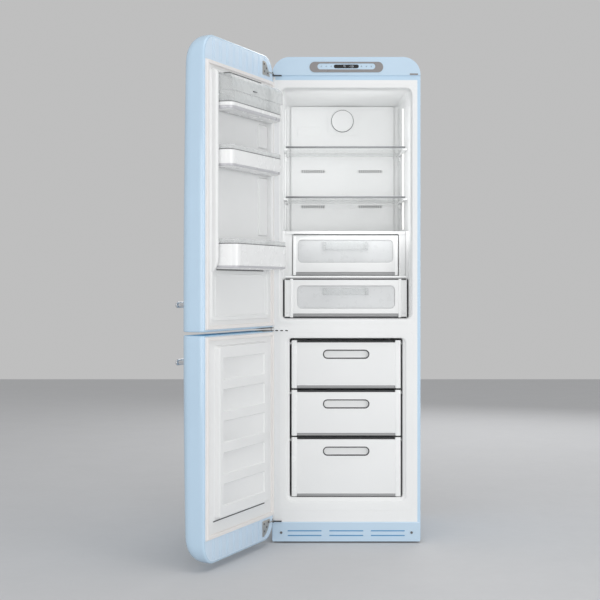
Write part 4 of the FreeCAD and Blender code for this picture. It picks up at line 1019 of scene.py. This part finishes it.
def lid():
    """Clear curved lid of the top bin, with its grip, pins, a dark rod of painted shadow along its upper edge, and the
    ears that carry it.
    """
    box = Box("dairy_lid", True)
    half, y1, low, high = 222.4, Box("balcony_top", True).y1, box.z0, box.z1 - 5.0
    pivot_y, pivot_z = 4.0, 1823.0
    radius, pin = 26.0, 4.5

    def front(wall):
        """Points up the lid's front and round its upper corner, drawn in by wall."""
        reach = radius - wall
        points = [(y1 - wall, low), (y1 - wall, high - radius)]
        for step in range(1, 8):
            angle = radians(90 * step / 8)
            points.append((y1 - radius + reach * cos(angle), high - radius + reach * sin(angle)))
        return points + [(y1 - radius, high - wall)]

    def section(x, points):
        return [Vector((x, y, z)) for y, z in points]

    skin = front(0.0) + [(pivot_y - 2.5, high)] + [(pivot_y - 1.75, high - 2.5)] + front(2.5)[::-1]
    pieces = [bevelled(loft([section(x, skin) for x in (-half, -half + 0.6, half - 0.6, half)], SWING), 0.5)]
    cheek = front(0.0) + [(pivot_y - 2.5, high), (pivot_y - 2.5, pivot_z - 4), (pivot_y + 10, 1800),
                          (pivot_y + 10, low)]
    for side in (-1, 1):
        pieces.append(bevelled(loft([section(side * (half - depth), cheek) for depth in (0.0, 2.4)], SWING), 0.5))
        start = half if side > 0 else -half - pin
        pieces.append(lathe([(0, 2.5), (pin, 2.5)], (start, pivot_y, pivot_z), "X", 16, SWING))
    finish(pieces, "dairy_lid_shell", "dairy_lid", CLEAR, replaces=("dairy_lid",))
    grip = side_bar(20, 48, y1 - 1, y1 + 5, low + 13, low + 18, 1.8, 0.8, SWING)
    finish(grip, "dairy_lid_grip", "dairy_lid", SMOKE)
    ears = [side_bar(side * 223, side * 226, pivot_y - 7, pivot_y + 7, 1740, pivot_z + 5, (0.5, 0.5, 5.0, 5.0), 0.6,
                     SWING) for side in (-1, 1)]
    finish(ears, "dairy_lid_ears", "balcony_top", CLEAR)
    # Dark rod along the lid's top: painted shadow of the gap between the lid and the door lining.
    y, z = y1 - radius + 14.0, high - 2.5
    edge = tube([(half, y - 24, z - 1), (half, y - 12, z - 0.5), (half + 0.3, y - 1, z), (half - 1, y, z),
                 (half - 14, y, z), (80, y, z), (-47, y, z)], 1.5, SWING)
    finish(edge, "dairy_lid_shadow_line", "dairy_lid", DARK)


# ---- stage ----
# Soft lights in metres and watts: name, place, point aimed at, size, power, and whether gloss mirrors them.
LIGHTS = (
    ("key", (0.4, -6.2, 1.3), (0.0, 0.0, 1.1), 1.8, 79.0, False),
    ("fill", (3.4, -4.2, 1.3), (-0.3, -0.2, 0.9), 2.2, 60.0, True),
    ("left", (-3.2, -4.6, 1.1), (-0.45, -0.3, 1.0), 2.0, 34.0, True),
    ("top", (0.4, -1.4, 4.6), (0.0, 0.1, 1.0), 3.0, 34.0, True),
    ("back", (1.5, 4.5, 3.0), (0.0, 0.3, 1.0), 3.0, 60.0, True),
)
FACING_BACK = (pi / 2, 0.0, 0.0)
SENSOR = 36.0
# The photo in pixels: its width, the lens's focal length, and how far the horizon lies from the middle row.
PHOTO_WIDTH, FOCAL, HORIZON = 600.0, 1266.0, 14.0
FLOOR_REACH = 9000


def area_light(name, place, rotation, size, power, mirrored):
    """Soft light, mirrored in glossy surfaces or not."""
    light = bpy.data.lights.new(name, "AREA")
    light.size = size
    light.energy = power
    holder = linked(name, light)
    holder.location = place
    holder.rotation_euler = rotation
    holder.visible_glossy = mirrored
    return holder


def stage():
    """Pale floor, soft studio light and the camera."""
    scene = bpy.context.scene
    corners = [(x * FLOOR_REACH, y * FLOOR_REACH, 0) for x, y in ((-1, -1), (1, -1), (1, 1), (-1, 1))]
    floor = mesh_object(corners, [(0, 1, 2, 3)], name="floor")
    floor.data.materials.append(surface("floor_paint", (206, 207, 209), 0.9, 0.01, 30.0, 0.0001))
    world = bpy.data.worlds.new("studio")
    scene.world = world
    world.use_nodes = True
    background = world.node_tree.nodes["Background"].inputs
    background["Color"].default_value = (0.88, 0.88, 0.88, 1.0)
    background["Strength"].default_value = 0.59
    for name, place, aim, size, power, mirrored in LIGHTS:
        rotation = (Vector(aim) - Vector(place)).to_track_quat("-Z", "Y").to_euler()
        area_light(name, place, rotation, size, power, mirrored)
    inside = area_light("inside", (0.03, 0.01, 1.50), FACING_BACK, 0.44, 1.04, False)
    inside.data.shape = "RECTANGLE"
    inside.data.size_y = 0.58
    inside.visible_camera = False
    camera = bpy.data.cameras.new("camera")
    camera.sensor_width = SENSOR
    camera.lens = SENSOR * FOCAL / PHOTO_WIDTH
    camera.shift_y = -HORIZON / PHOTO_WIDTH
    holder = linked("camera", camera)
    holder.location = (-0.1876, -5.130, 1.0405)
    holder.rotation_euler = FACING_BACK
    scene.camera = holder
    scene.view_settings.view_transform = "Standard"


stage()
dress_cad_nodes()
fridge_tub()
freezer_tub()
runners()
shelf_rails()
duct_details()
control_details()
cabinet_details()
drawer_cover_details()
# The fresh drawer takes the dimmer copies of the white moulding and the frosted plastic: painted shade.
fridge_drawer("fresh_drawer", posts=210.0, window=(-197.0, 197.0, 1137.0, 1231.0), handle=(1191.0, 1224.0),
              lift=1.5, strip=14.0, look=DIM_WHITE, pane_look=FROST_DIM)
fridge_drawer("crisper", posts=222.0, window=(-199.0, 201.0, 948.0, 1042.0), handle=(1004.0, 1032.0),
              lift=4.5, strip=17.0, look=WHITE, pane_look=FROST)
for which in ("top", "middle", "bottom"):
    freezer_drawer(which)
for door in ("upper_door", "lower_door"):
    door_body(door)
    gasket(door)
    handle(door)
    hinge_leaf(door)
upper_lining()
lower_lining()
for name, measures in BALCONIES.items():
    balcony(name, *measures)
lid()
